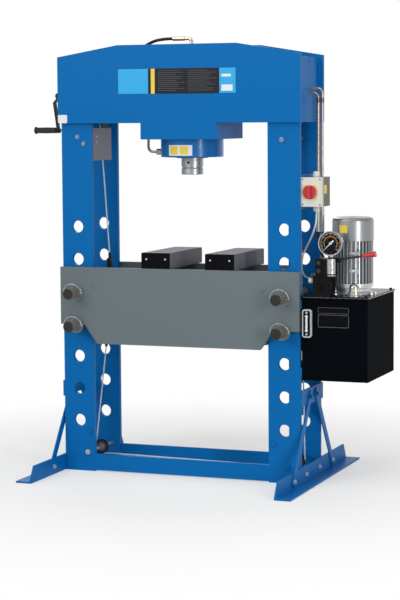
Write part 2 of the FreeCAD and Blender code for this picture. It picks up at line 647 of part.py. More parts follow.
guard_sheet = slab("guard_sheet", ("guard_x - guard_sheet", "guard_x"),
                   ("-(%s)" % flat_inside, "guard_rear"), ("guard_bottom", "guard_top"))
guard_tab = slab("guard_tab", ("guard_x - guard_flange", "guard_x"),
                 ("-(%s)" % flat_inside, "-(%s) + guard_sheet" % flat_inside),
                 ("guard_bottom + 40", "guard_top"))
guard_rivets = [rod("guard_rivet_%d" % number, "4", "2.5", ("guard_x", "-104", z), "X")
                for number, z in enumerate(("guard_top - 39", "guard_top - 64"))]
nodes.append(join("rope_guard", [guard_sheet, guard_tab] + guard_rivets))

# ---------------------------------------------------------------- ropes and pulleys
groove = "pulley_pitch - rope_radius - body_gap"


def pulley(name, x, z):
    """A grooved rope pulley with a long hub, running on its axle."""
    bore = "axle_radius + running_gap"
    half = "pulley_thick / 2"
    return turned(name, [
        (bore, "-hub_length / 2"), ("hub_radius", "-hub_length / 2"),
        ("hub_radius", "-(%s)" % half), ("pulley_rim", "-(%s)" % half),
        ("pulley_rim", "-(%s) + 2" % half), (groove, "-rope_radius"),
        (groove, "rope_radius"), ("pulley_rim", "%s - 2" % half), ("pulley_rim", half),
        ("hub_radius", half), ("hub_radius", "hub_length / 2"), (bore, "hub_length / 2"),
    ], (x, "0", z), "Y")


nodes.append(pulley("base_left_pulley", "left_pulley_x", "left_pulley_z"))
nodes.append(pulley("base_right_pulley", "right_pulley_x", "right_pulley_z"))
nodes.append(pulley("top_right_pulley", "top_pulley_x", "top_pulley_z"))

axles = []
for number, (x, z) in enumerate(axle_spots[-1] + axle_spots[1]):
    pieces = [rod("axle_%d_shank" % number, "axle_radius", "2 * axle_reach",
                  (x, "-axle_reach", z), "Y"),
              hexagon("axle_%d_head" % number, "axle_radius + 5", "axle_radius",
                      (x, "-flat_face", z), "-Y"),
              hexagon("axle_%d_nut" % number, "axle_radius + 5", "axle_radius",
                      (x, "flat_face", z), "Y")]
    axles.append(join("axle_%d" % number, pieces))
nodes.append(group("pulley_axles", axles))


def turn_in_plane(direction, angle):
    """Turns a direction in the XZ plane, anticlockwise as seen from the front."""
    across = math.cos(angle) * direction.x - math.sin(angle) * direction.z
    height = math.sin(angle) * direction.x + math.cos(angle) * direction.z
    return Vector(across, 0, height)


def rope_route(start, wheels, end, radius):
    """Straight runs and wraps of a rope that passes each wheel anticlockwise."""
    to_first = wheels[0] - start
    lean = -math.asin(radius / to_first.Length)
    directions = [turn_in_plane(to_first.normalize(), lean)]
    for wheel, following in zip(wheels, wheels[1:]):
        directions.append((following - wheel).normalize())
    to_end = end - wheels[-1]
    lean = math.asin(radius / to_end.Length)
    directions.append(turn_in_plane(to_end.normalize(), lean))
    edges = []
    here = start
    for wheel, arriving, leaving in zip(wheels, directions, directions[1:]):
        touch = wheel + turn_in_plane(arriving, -math.pi / 2) * radius
        release = wheel + turn_in_plane(leaving, -math.pi / 2) * radius
        swing = math.atan2(arriving.x * leaving.z - arriving.z * leaving.x,
                           arriving.x * leaving.x + arriving.z * leaving.z)
        swing = swing % (2 * math.pi)
        halfway = wheel + turn_in_plane(touch - wheel, swing / 2)
        edges.append(Part.LineSegment(here, touch).toShape())
        edges.append(Part.Arc(touch, halfway, release).toShape())
        here = release
    edges.append(Part.LineSegment(here, end).toShape())
    return Part.Wire(edges), directions


rope = value("rope_radius")
anchor_mouth = "bolster_top + anchor_rise"
lower_end = "spacer_bottom - lower_drop"
inside = value("socket_length / 4")
lift_top = point("rope_top_x", "0", drum_z)
lift_mouth = point("-rope_anchor_x", "0", anchor_mouth)
lift_way = (lift_mouth - lift_top).normalize()
lift_wire = Part.Wire([Part.LineSegment(lift_top, lift_mouth + lift_way * inside).toShape()])
nodes.append(tube("lift_rope", lift_wire, rope))

wheels = [point("left_pulley_x", "0", "left_pulley_z"),
          point("right_pulley_x", "0", "right_pulley_z"),
          point("top_pulley_x", "0", "top_pulley_z")]
lower_mouth = point("lower_anchor_x", "0", lower_end)
upper_mouth = point("rope_anchor_x", "0", anchor_mouth)
pitch_radius = value("pulley_pitch")
level_ways = rope_route(lower_mouth, wheels, upper_mouth, pitch_radius)[1]
level_start = lower_mouth - level_ways[0] * inside * 2
level_end = upper_mouth + level_ways[-1] * inside
level_wire = rope_route(level_start, wheels, level_end, pitch_radius)[0]
nodes.append(tube("levelling_rope", level_wire, rope))


def socket(name, mouth, inward):
    """A rope socket on the bolster: its bore leaves the rope's end room to move."""
    length = value("socket_length")
    outside = Part.makeCylinder(value("socket_radius"), length, mouth, inward)
    depth = length - 4
    bore = Part.makeCylinder(rope + value("socket_clear"), depth + 1, mouth - inward, inward)
    return feature(name, outside.cut(bore))


def anchor(name, mouth, inward, xs, zs):
    """A rope socket with the lug that carries it on a spacer."""
    lug = slab(name + "_lug", xs, ("-12", "12"), zs)
    length = value("socket_length")
    bore = Part.makeCylinder(rope + value("socket_clear"), length - 4, mouth, inward)
    body = join(name + "_body", [lug, socket(name + "_socket", mouth, inward)])
    return cut(name, body, [feature(name + "_clear", bore)])


lug_zs = ("spacer_top", anchor_mouth + " - socket_length + 8")
lower_zs = (lower_end + " + socket_length - 8", "spacer_bottom")
nodes.append(group("rope_anchors", [
    anchor("left_anchor", lift_mouth, lift_way,
           ("-rope_anchor_x - 9", "-rope_anchor_x + 9"), lug_zs),
    anchor("right_anchor", upper_mouth, level_ways[-1],
           ("rope_anchor_x - 9", "rope_anchor_x + 9"), lug_zs),
    anchor("lower_anchor", lower_mouth, level_ways[0] * -1,
           ("lower_anchor_x - 9", "-spacer_x + spacer_thick / 2"), lower_zs)]))

# ---------------------------------------------------------------- base
bar_xs = ("-(%s)" % inner_edge, inner_edge)
bar_zs = ("bar_bottom", "bar_bottom + bar_height")
nodes.append(group("tie_bars", [
    slab("front_tie_bar", bar_xs, ("-flat_face", "-flat_face + bar_thick"), bar_zs),
    slab("rear_tie_bar", bar_xs, ("flat_face - bar_thick", "flat_face"), bar_zs)]))


def foot(name, side):
    """An angle foot across a column, the ends of its upright leg cut on a slant."""
    low = mirrored(side, outer_edge, outer_edge + " + foot_thick")[0]
    upright = plate(name + "_upright", "YZ_Plane", [
        ("-foot_half", "0"), ("foot_half", "0"), ("foot_half", "foot_thick"),
        ("foot_half - foot_slant", "foot_leg"), ("-foot_half + foot_slant", "foot_leg"),
        ("-foot_half", "foot_thick"),
    ], "foot_thick", (low, "0", "0"))
    sole = slab(name + "_sole", mirrored(side, outer_edge, outer_edge + " + foot_leg"),
                ("-foot_half", "foot_half"), ("0", "foot_thick"))
    return join(name, [upright, sole])


nodes.append(foot("left_foot", -1))
nodes.append(foot("right_foot", 1))

brace_face = outer_edge + " + foot_thick"


def brace(name, side, way):
    """A flat bar brace from a foot's end up to the tie plate."""
    rise = value("brace_top_z - brace_foot_z")
    run = value("brace_foot_y - brace_top_y")
    length = math.hypot(rise, run) + 2 * value("brace_end")
    width = value("brace_width")
    thick = value("brace_thick")
    shape = Part.makeBox(thick, length, width, Vector(0, 0, -width / 2))
    shape.translate(Vector(0, -value("brace_end"), 0))
    shape.rotate(Vector(), Vector(1, 0, 0), math.degrees(math.atan2(rise, run)))
    shape.translate(point(brace_face, "-brace_foot_y", "brace_foot_z"))
    if way > 0:
        shape = shape.mirror(Vector(), Vector(0, 1, 0))
    if side < 0:
        shape = shape.mirror(Vector(), Vector(1, 0, 0))
    return feature(name, shape)


braces = []
for side, hand in ((-1, "left"), (1, "right")):
    for way, end in ((-1, "front"), (1, "rear")):
        braces.append(brace("%s_%s_brace" % (hand, end), side, way))
nodes.append(group("foot_braces", braces))

webs = []
for side, hand in ((-1, "left"), (1, "right")):
    webs.append(slab(hand + "_tie", mirrored(side, outer_edge, brace_face),
                     ("-flat_face", "flat_face"), ("tie_bottom", "tie_top")))
    webs.append(slab(hand + "_low_web", mirrored(side, outer_edge + " - web_thick", outer_edge),
                     ("-(%s)" % flat_inside, flat_inside), ("0", "foot_leg")))
webs.append(slab("switch_web", (outer_edge + " - web_thick", outer_edge),
                 ("-(%s)" % flat_inside, flat_inside),
                 ("switch_bottom - 12", "switch_top + 12")))
for number, z in enumerate(("tank_bottom + 12", "tank_top - pad_height - 12")):
    webs.append(slab("tank_pad_%d" % number, (outer_edge, outer_edge + " + tank_gap"),
                     ("-flat_face", "flat_face"), (z, z + " + pad_height")))
nodes.append(group("column_webs", webs))

# ---------------------------------------------------------------- fasteners
bolts = []


def bolt(start, axis, size="bolt_radius"):
    """A hexagon head on its washer."""
    number = len(bolts)
    washer = rod("bolt_%d_washer" % number, size + " + 2", "1.5", start, axis)
    step = {"X": ("+ 1.5", ""), "-X": ("- 1.5", ""), "-Y": ("", "- 1.5"), "Y": ("", "+ 1.5")}
    lift_x, lift_y = step[axis]
    head = hexagon("bolt_%d_head" % number, size, "bolt_head",
                   (start[0] + lift_x, start[1] + lift_y, start[2]), axis)
    bolts.append(join("bolt_%d" % number, [washer, head]))


for side in (-1, 1):
    out = "X" if side > 0 else "-X"
    back = "-X" if side > 0 else "X"
    leg_face = "%d * (%s)" % (side, brace_face)
    for way in (-1, 1):
        on_brace = "%d * (%s + brace_thick)" % (side, brace_face)
        bolt((on_brace, "%d * brace_foot_y" % way, "brace_foot_z"), out)
        bolt((on_brace, "%d * brace_top_y" % way, "brace_top_z"), out)
        bolt((leg_face, "%d * sole_bolt_y" % way, "brace_foot_z"), out)
        bolt(("%d * (%s)" % (side, outer_edge), "%d * brace_foot_y" % way,
              "brace_foot_z"), back)
bolt(("high_bolt_x", "-flat_face", "high_bolt_z"), "-Y")
bolt(("low_bolt_x", "-flat_face", "low_bolt_z"), "-Y")
for hand in ("left", "right"):
    bolt((hand + "_boss_x", "-flat_face", hand + "_boss_z"), "-Y", "boss_radius")
nodes.append(group("frame_bolts", bolts))

# ---------------------------------------------------------------- power unit
tank_left = outer_edge + " + tank_gap"
tank_xs = (tank_left, "tank_right")
tank_ys = ("-tank_front", "tank_rear")
tank_shell = slab("tank_shell", tank_xs, tank_ys, ("tank_bottom", "tank_top"))
tank_room = slab("tank_room", (tank_left + " + tank_wall", "tank_right - tank_wall"),
                 ("-tank_front + tank_wall", "tank_rear - tank_wall"),
                 ("tank_bottom + tank_wall", "tank_top + 1"))
nodes.append(cut("oil_tank", tank_shell, [tank_room]))
lid_top = "tank_top + lid_thick"
lid_blank = slab("lid_blank", (tank_left, "tank_right + lid_over"),
                 ("-tank_front - lid_over", "tank_rear + lid_over"), ("tank_top", lid_top))
lid_bore = rod("lid_bore", "neck_radius + 2", "lid_thick + 2",
               ("filler_x", "-filler_y", "tank_top - 1"))
lid_plate = cut("lid_plate", lid_blank, [lid_bore])
lid_screws = []
for x in (tank_left + " + 12", "(%s + tank_right) / 2" % tank_left, "tank_right - 12"):
    for y in ("-tank_front + 12", "tank_rear - 12"):
        lid_screws.append(hexagon("lid_screw_%d" % len(lid_screws), "7", "6", (x, y, lid_top)))
lid = join("lid_with_screws", [lid_plate] + lid_screws)

nodes.append(turned("pump_flange", [
    ("0", lid_top), ("flange_radius", lid_top), ("flange_radius", lid_top + " + 10"),
    ("motor_radius", lid_top + " + 14"), ("motor_radius", "flange_top - 10"),
    ("flange_radius - 5", "flange_top - 8"), ("flange_radius - 5", "flange_top"),
    ("0", "flange_top"),
], ("motor_x", "motor_y", "0")))


def motor_case(name):
    """The motor's case: a round core with upright cooling fins set round it."""
    body = doc.addObject("PartDesign::Body", name)
    core = outline_sketch(body, name + "_core", "XZ_Plane", [
        ("0", "flange_top"), ("fin_radius", "flange_top"), ("fin_radius", "flange_top + 12"),
        ("motor_radius", "flange_top + 14"), ("motor_radius", "motor_top"),
        ("0", "motor_top")])
    spin = body.newObject("PartDesign::Revolution", name + "_spin")
    spin.Profile = core
    spin.ReferenceAxis = (core, ["V_Axis"])
    spin.Angle = 360
    fin = outline_sketch(body, name + "_fin", "XZ_Plane", [
        ("motor_radius - 3", "flange_top + 10"), ("fin_radius", "flange_top + 10"),
        ("fin_radius", "motor_top - 4"), ("motor_radius - 3", "motor_top - 4")])
    pad = body.newObject("PartDesign::Pad", name + "_fin_pad")
    pad.Profile = fin
    pad.Midplane = True
    pad.setExpression("Length", bound("fin_thick"))
    doc.recompute()
    pattern = body.newObject("PartDesign::PolarPattern", name + "_fins")
    pattern.Originals = [pad]
    axis = next(o for o in body.Origin.OriginFeatures if o.Role == "Z_Axis")
    pattern.Axis = (axis, [""])
    pattern.Angle = 360
    pattern.setExpression("Occurrences", bound("fin_count"))
    body.Tip = pattern
    return place(body, "motor_x", "motor_y", "0")


cowl_top = "motor_top + cowl_height"
nodes.append(turned("motor_cowl", [
    ("cowl_radius - cowl_wall", "motor_top - 4"), ("cowl_radius", "motor_top - 4"),
    ("cowl_radius", cowl_top + " - 14"), ("cowl_radius - 4", cowl_top + " - 4"),
    ("cowl_radius - 14", cowl_top), ("14", cowl_top), ("14", cowl_top + " - cowl_wall"),
    ("cowl_radius - 15", cowl_top + " - cowl_wall"),
    ("cowl_radius - 4 - cowl_wall", cowl_top + " - 10"),
    ("cowl_radius - cowl_wall", cowl_top + " - 18"),
], ("motor_x", "motor_y", "0")))
terminal_zs = ("motor_top - terminal_size - 45", "motor_top - 45")
terminal_box = slab("terminal_box",
                    ("motor_x - terminal_size / 2", "motor_x + terminal_size / 2"),
                    ("fin_radius", "fin_radius + 38"), terminal_zs)
nodes.append(group("motor", [motor_case("motor_case"), terminal_box]))

nodes.append(slab("valve_base", ("valve_left", "valve_right"), ("-valve_front", "-valve_rear"),
                  (lid_top, "valve_top")))
manifold_body = slab("manifold_body", ("manifold_left", "manifold_right"),
                     ("-manifold_front", "-manifold_rear"), ("valve_top", "manifold_top"))
ear_half = "lever_boss + 1"
ears = []
for number, way in enumerate((-1, 1)):
    middle = "-lever_y + %d * (%s + 1 + ear_thick / 2)" % (way, "lever_boss")
    ears.append(slab("ear_%d" % number, ("manifold_right", "lever_x + lever_boss - 1"),
                     ("%s - ear_thick / 2" % middle, "%s + ear_thick / 2" % middle),
                     ("lever_z - lever_boss", "lever_z + 8")))
ear_pin = rod("ear_pin", "4", "2 * lever_boss + 2 + 2 * ear_thick",
              ("lever_x", "-lever_y - lever_boss - 1 - ear_thick", "lever_z"), "Y")
gauge_port = rod("gauge_port", "port_radius", "manifold_top - valve_top",
                 ("gauge_x", "-gauge_y - gauge_depth / 2", "valve_top"))
nodes.append(join("valve_manifold", [manifold_body, gauge_port, ear_pin] + ears))

lever_hub = rod("lever_hub", "lever_boss - 2", "2 * lever_boss + 1",
                ("lever_x", "-lever_y - lever_boss - 0.5", "lever_z"), "Y")
lever_way = Vector(math.cos(math.radians(value("lever_rise"))), 0,
                   math.sin(math.radians(value("lever_rise"))))
lever_base = point("lever_x", "-lever_y", "lever_z")
lever_shaft = feature("lever_shaft", Part.makeCylinder(
    value("lever_rod"), value("lever_reach - 4"), lever_base, lever_way))
grip_start = value("lever_reach - lever_grip_length")
lever_grip = feature("lever_grip", Part.makeCone(
    value("lever_neck"), value("lever_grip"), value("lever_grip_length"),
    lever_base + lever_way * grip_start, lever_way))
lever_bore = rod("lever_bore", "4 + running_gap", "4 * lever_boss",
                 ("lever_x", "-lever_y - 2 * lever_boss", "lever_z"), "Y")
lever_cut = feature("lever_grip_room", Part.makeCylinder(
    value("lever_grip"), value("lever_grip_length") + 1,
    lever_base + lever_way * grip_start, lever_way))
lever_arm = cut("lever_arm", join("lever_whole", [lever_hub, lever_shaft]),
                [lever_bore, lever_cut])
nodes.append(group("valve_lever", [lever_arm, lever_grip]))

dial_y = "-gauge_y - gauge_depth + 8"
nodes.append(join("pressure_gauge", [
    turned("gauge_case", [
        ("0", "0"), ("gauge_radius - 6", "0"), ("gauge_radius - 2", "4"),
        ("gauge_radius - 2", "gauge_depth - 9"), ("gauge_radius", "gauge_depth - 8"),
        ("gauge_radius", "gauge_depth"), ("gauge_radius - 5", "gauge_depth"),
        ("gauge_radius - 5", "gauge_depth - 8"), ("3", "gauge_depth - 8"),
        ("3", "gauge_depth - 4"), ("0", "gauge_depth - 4"),
    ], ("gauge_x", "-gauge_y", "gauge_z"), "-Y"),
    rod("gauge_stem", "7", "gauge_z - gauge_radius + 6 - manifold_top",
        ("gauge_x", "-gauge_y - gauge_depth / 2", "manifold_top"))]))
needle_y = "-gauge_y - gauge_depth + 7"
needle_hub = rod("needle_hub", "6", "3", ("gauge_x", needle_y, "gauge_z"), "-Y")


def on_dial(along, across):
    """A spot on the dial, from the hub towards the needle's tip and across it."""
    return ("gauge_x + (%s - (%s)) * sqrt(0.5)" % (across, along),
            "gauge_z - (%s + (%s)) * sqrt(0.5)" % (across, along))


needle_blade = plate("needle_blade", "XZ_Plane", [
    on_dial("needle_length", "0.5"), on_dial("10", "1.6"), on_dial("-3", "1.6"),
    on_dial("-5", "3"), on_dial("-needle_length / 2", "3"),
    on_dial("-needle_length / 2", "-3"), on_dial("-5", "-3"), on_dial("-3", "-1.6"),
    on_dial("10", "-1.6"), on_dial("needle_length", "-0.5"),
], "1.5", ("0", needle_y, "0"))
needle_bore = rod("needle_bore", "3 + running_gap", "8",
                  ("gauge_x", needle_y + " + 2", "gauge_z"), "-Y")
nodes.append(cut("gauge_needle", join("needle_blank", [needle_hub, needle_blade]),
                 [needle_bore]))

collar = turned("collar_blank", [
    ("neck_radius + 1", "0"), ("collar_radius", "0"), ("collar_radius", "6"),
    ("collar_radius - 6", "9"), ("collar_radius - 6", "collar_height"),
    ("neck_radius + 1", "collar_height"),
], ("filler_x", "-filler_y", lid_top))
nodes.append(group("tank_lid", [lid, collar]))
cap_base = "tank_top + lid_thick + collar_height + body_gap"
nodes.append(turned("filler_cap", [
    ("0", "0"), ("filler_radius", "0"), ("filler_radius", "filler_height - 6"),
    ("filler_radius - 6", "filler_height"), ("0", "filler_height"),
], ("filler_x", "-filler_y", cap_base)))

sight_front = "-tank_front - sight_depth"
sight_blank = slab("sight_blank", ("sight_left", "sight_right"), (sight_front, "-tank_front"),
                   ("sight_bottom", "sight_top"))
sight_blank.recompute()
sight_body = doc.addObject("Part::Fillet", "sight_body")
sight_body.Base = sight_blank
sight_round = value("sight_round")
sight_body.Edges = [(number, sight_round, sight_round)
                    for number, edge in enumerate(sight_blank.Shape.Edges, 1)
                    if edge.BoundBox.YLength > 1]
sight_screws = [rod("sight_screw_%d" % number, "sight_screw", "2",
                    ("(sight_left + sight_right) / 2", sight_front, z), "-Y")
                for number, z in enumerate(("sight_bottom + 10", "sight_top - 12"))]
sight_slot = slab("sight_slot", ("sight_left + 13", "sight_right - 13"),
                  (sight_front + " - 1", "-tank_front - 5"),
                  ("sight_bottom + 20", "sight_top - 28"))
nodes.append(cut("sight_gauge", join("sight_whole", [sight_body] + sight_screws),
                 [sight_slot]))

# ---------------------------------------------------------------- switch
switch_body = slab("switch_body", (outer_edge, "switch_right"),
                   ("-switch_front", "switch_rear"), ("switch_bottom", "switch_top"))
knob_bore = rod("knob_bore", "6 + running_gap", "12.5",
                ("knob_x", "-switch_front - plate_thick - 0.5", "knob_z"), "Y")
switch_plate = slab("switch_plate", ("knob_x - knob_plate", "knob_x + knob_plate"),
                    ("-switch_front - plate_thick", "-switch_front"),
                    ("knob_z - knob_plate", "knob_z + knob_plate"))
cover_screws = [rod("cover_screw_%d_%d" % (across, height), "cover_screw", "1.5",
                    (x, "-switch_front", z), "-Y")
                for across, x in enumerate((outer_edge + " + cover_inset",
                                            "switch_right - cover_inset"))
                for height, z in enumerate(("switch_bottom + cover_inset",
                                            "switch_top - cover_inset"))]
switch_whole = join("switch_whole", [switch_body, switch_plate] + cover_screws)
nodes.append(cut("switch_box", switch_whole, [knob_bore]))
knob_disc = turned("knob_disc", [
    ("0", "-12"), ("6", "-12"), ("6", "body_gap"), ("knob_radius", "body_gap"),
    ("knob_radius", "8"), ("knob_radius - 4", "11"), ("0", "11"),
], ("knob_x", "-switch_front - plate_thick", "knob_z"), "-Y")
knob_bar = slab("knob_bar", ("knob_x - 8", "knob_x + 8"),
                ("-switch_front - plate_thick - knob_height", "-switch_front - plate_thick - 10"),
                ("knob_z - knob_radius + 5", "knob_z + knob_radius - 5"))
nodes.append(join("switch_knob", [knob_disc, knob_bar]))


def gland(name, z, axis):
    """A stepped cable gland on the switch box."""
    slim = "gland_size - gland_step"
    flange = "gland_length * 0.38"
    return turned(name, [
        ("0", "0"), ("gland_size", "0"), ("gland_size", flange),
        (slim, flange + " + gland_step"), (slim, "gland_length - 2 * gland_step"),
        (slim + " - gland_step", "gland_length"), ("0", "gland_length"),
    ], ("gland_x", "-gland_y", z), axis)


valve_plug = slab("valve_plug", ("valve_left - plug_reach", "valve_left"),
                  ("-gland_y - plug_half", "-gland_y + plug_half"),
                  ("plug_z - plug_height / 2", "plug_z + plug_height / 2"))
nodes.append(group("cable_glands", [gland("upper_gland", "switch_top", "Z"),
                                    gland("lower_gland", "switch_bottom", "-Z"), valve_plug]))

# ---------------------------------------------------------------- pipes, hoses, cable
bend = value("pipe_bend")
pipe_y = value("pipe_y")
rear_y = value("pipe_rear")


def wall_pipe(name, x, z, tail):
    """A steel pipe up the column, through the beam's end plate and along its rear wall."""
    turn_x = value("column_span")
    route = [(x, pipe_y, value("pipe_foot")), (x, pipe_y, z), (turn_x, pipe_y, z),
             (turn_x - value("pipe_crossing"), rear_y, z)] + tail
    wire, radii = rounded_path(route, bend)
    return tube(name, wire, value("pipe_radius"), radii)


near_x, near_z = value("near_pipe_x"), value("near_pipe_z")
far_x, far_z = value("far_pipe_x"), value("far_pipe_z")
return_x, return_z = value("return_x"), value("return_z")
hose_x = value("hose_x")
nut_start = value("cyl_x - barrel_radius - nut_length")
nodes.append(group("steel_pipes", [
    wall_pipe("return_pipe", near_x, near_z, [
        (return_x, rear_y, near_z), (return_x, 0, near_z), (return_x, 0, return_z),
        (nut_start, 0, return_z)]),
    wall_pipe("pressure_pipe", far_x, far_z, [
        (hose_x, rear_y, far_z), (hose_x, 0, far_z), (hose_x, 0, value("hose_start"))])]))

cap_top = value("barrel_top + cap_thick")
cyl_x = value("cyl_x")
elbow_z = value("elbow_z")
elbow_left = value("elbow_left")
ferrule_left = elbow_left - value("top_ferrule")
hose_start = value("hose_start")
hose_span = ferrule_left - hose_x
hose_rise = elbow_z - hose_start


def on_arch(across, height):
    """A spot on the pressure hose's arch, as shares of its span and rise."""
    return (hose_x + across * hose_span, 0, hose_start + height * hose_rise)


hose_wire, hose_radii = rounded_path([
    on_arch(0, 0), on_arch(0, 0.30), on_arch(0.13, 0.61), on_arch(0.39, 0.86),
    on_arch(0.69, 1), on_arch(1, 1)])
hoses = [tube("pressure_hose", hose_wire, value("hose_radius"), hose_radii)]

elbow_wire, elbow_radii = rounded_path([
    (elbow_left, 0, elbow_z), (cyl_x, 0, elbow_z), (cyl_x, 0, cap_top)],
    value("2 * elbow_radius"))
fittings = [
    tube("top_elbow", elbow_wire, value("elbow_radius"), elbow_radii),
    rod("top_ferrule", "ferrule_radius + 1.5", "top_ferrule",
        ("elbow_left - top_ferrule", "0", "elbow_z"), "X"),
    hexagon("return_nut", "fitting_radius", "nut_length",
            ("cyl_x - barrel_radius - nut_length", "0", "return_z"), "X"),
]
union_z = "near_pipe_z - pipe_bend - union_length"
for name, x in (("near", "near_pipe_x"), ("far", "far_pipe_x")):
    fittings.append(turned(name + "_union", [
        ("pipe_radius", "0"), ("union_radius", "0"), ("union_radius", "union_length"),
        ("pipe_radius", "union_length")], (x, "pipe_y", union_z)))
    fittings.append(rod(name + "_ferrule", "ferrule_radius", "ferrule_length",
                        (x, "pipe_y", "pipe_foot"), "-Z"))
nodes.append(group("hydraulic_fittings", fittings))

hose_top = value("pipe_foot - ferrule_length")
hose_end_y = -value("manifold_rear")
for name, x in (("near", near_x), ("far", far_x)):
    end_x = value(name + "_end_x")
    end_z = value(name + "_end_z")
    way = end_x - x
    wire, radii = rounded_path([
        (x, pipe_y, hose_top), (x, pipe_y, hose_top - 45),
        (x + 0.3 * way, pipe_y - 20, end_z + 50), (x + 0.8 * way, pipe_y - 60, end_z + 10),
        (end_x, hose_end_y + 40, end_z), (end_x, hose_end_y, end_z)])
    hoses.append(tube(name + "_hose", wire, value("hose_radius"), radii))
nodes.append(group("hydraulic_hoses", hoses))

cable_x = value("gland_x")
cable_y = -value("gland_y")
cable_top = value("switch_bottom - gland_length")
cable_swing = cable_x - value("cable_low")
cable_high = value("cable_high")
cable_fall = cable_top - cable_high
plug_x = value("valve_left - plug_reach")
plug_z = value("plug_z")
plug_fall = cable_high - plug_z


def on_fall(across, height):
    """A spot on the cable above its leftmost point, as shares of its swing and fall."""
    return (cable_x - across * cable_swing, cable_y, cable_top - height * cable_fall)


cable_wire, cable_radii = rounded_path([
    on_fall(0, 0), on_fall(0, 0.18), on_fall(0.19, 0.4), on_fall(0.53, 0.63),
    on_fall(0.86, 0.81), on_fall(1, 1),
    (plug_x - 0.98 * (plug_x - value("cable_low")), cable_y, plug_z + 0.37 * plug_fall),
    (plug_x - 0.57 * (plug_x - value("cable_low")), cable_y, plug_z),
    (plug_x, cable_y, plug_z)])
nodes.append(tube("power_cable", cable_wire, value("cable_radius"), cable_radii))

# ---------------------------------------------------------------- check and write
doc.recompute()
for thing in doc.Objects:
    if "Invalid" in thing.State or "Error" in thing.State:
        raise RuntimeError("%s failed: %s" % (thing.Name, thing.State))
labels = [node.Label for node in nodes]
if len(set(labels)) != len(labels):
    raise RuntimeError("two nodes share a label")
for node in nodes:
    if node.Shape.isNull() or not node.Shape.isValid():
        raise RuntimeError("%s has no valid shape" % node.Label)
os.makedirs("parts", exist_ok=True)
for node in nodes:
    node.Shape.exportStep("parts/%s.step" % node.Label)
print("%d sub-parts written" % len(nodes))
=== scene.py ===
import bpy
import math
from mathutils import Matrix, Vector


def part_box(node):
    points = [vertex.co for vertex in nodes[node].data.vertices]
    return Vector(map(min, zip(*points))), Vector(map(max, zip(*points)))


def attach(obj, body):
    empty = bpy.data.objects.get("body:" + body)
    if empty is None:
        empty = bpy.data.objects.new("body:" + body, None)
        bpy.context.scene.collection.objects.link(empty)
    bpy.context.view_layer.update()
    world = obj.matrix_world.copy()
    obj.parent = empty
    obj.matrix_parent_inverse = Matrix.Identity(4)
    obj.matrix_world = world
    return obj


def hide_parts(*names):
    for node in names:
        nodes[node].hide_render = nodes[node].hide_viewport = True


# Looks for an electric H-frame workshop press. Metres, X right, Y back, Z up.
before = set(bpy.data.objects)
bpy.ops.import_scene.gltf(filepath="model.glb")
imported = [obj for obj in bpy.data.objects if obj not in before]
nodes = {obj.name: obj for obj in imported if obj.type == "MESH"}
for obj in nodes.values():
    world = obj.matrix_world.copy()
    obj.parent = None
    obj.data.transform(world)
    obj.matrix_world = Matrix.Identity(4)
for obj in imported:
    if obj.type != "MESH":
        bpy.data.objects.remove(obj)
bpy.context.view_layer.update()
scene = bpy.context.scene
scene.view_settings.view_transform = "Standard"
print("frame loaded:", len(nodes), "nodes")

# camera
view = {
    "spot": (3.1352, -8.1747, 1.6488),
    "yaw": 20.90, "pitch": 5.03, "roll": -0.40,
    "lens": 114.456, "sensor": 36.0, "shiftX": 0.00948, "shiftY": -0.0296,
    "clip": (0.1, 60),
}


def addCamera(v):
    yaw, pitch, roll = (math.radians(v[k]) for k in ("yaw", "pitch", "roll"))
    ahead = Vector((-math.sin(yaw) * math.cos(pitch), math.cos(yaw) * math.cos(pitch),
                    -math.sin(pitch)))
    right = Vector((math.cos(yaw), math.sin(yaw), 0))
    up = right.cross(ahead)
    right, up = (right * math.cos(roll) + up * math.sin(roll),
                 up * math.cos(roll) - right * math.sin(roll))
    lensData = bpy.data.cameras.new("photoView")
    camera = bpy.data.objects.new("photoView", lensData)
    scene.collection.objects.link(camera)
    turn = Matrix((right, up, -ahead)).transposed().to_4x4()
    camera.matrix_world = Matrix.Translation(v["spot"]) @ turn
    lensData.sensor_fit = "VERTICAL"
    lensData.sensor_width = lensData.sensor_height = v["sensor"]
    lensData.lens = v["lens"]
    lensData.shift_x, lensData.shift_y = v["shiftX"], v["shiftY"]
    lensData.clip_start, lensData.clip_end = v["clip"]
    scene.camera = camera


addCamera(view)


# short ways to add shader nodes
def newGroup(name, inputs, outputs):
    tree = bpy.data.node_groups.new(name, "ShaderNodeTree")
    for label, kind, start in inputs:
        socket = tree.interface.new_socket(label, in_out="INPUT", socket_type=kind)
        if start is not None:
            socket.default_value = start
    for label, kind in outputs:
        tree.interface.new_socket(label, in_out="OUTPUT", socket_type=kind)
    return tree, tree.nodes.new("NodeGroupInput"), tree.nodes.new("NodeGroupOutput")


def mathNode(tree, operation, first, second=None, clamp=False):
    node = tree.nodes.new("ShaderNodeMath")
    node.operation = operation
    node.use_clamp = clamp
    for index, source in enumerate((first, second)):
        if isinstance(source, (int, float)):
            node.inputs[index].default_value = source
        elif source is not None:
            tree.links.new(source, node.inputs[index])
    return node.outputs[0]


def swingNode(tree, mask, amount):
    # above and below zero as the mask is above and below a half
    return mathNode(tree, "MULTIPLY", mathNode(tree, "SUBTRACT", mask, 0.5), amount)


def noiseNode(tree, place, scale, detail=3.0, rough=0.55):
    noise = tree.nodes.new("ShaderNodeTexNoise")
    noise.inputs["Detail"].default_value = detail
    noise.inputs["Roughness"].default_value = rough
    tree.links.new(place, noise.inputs["Vector"])
    if isinstance(scale, (int, float)):
        noise.inputs["Scale"].default_value = scale
    else:
        tree.links.new(scale, noise.inputs["Scale"])
    return noise.outputs["Fac"]


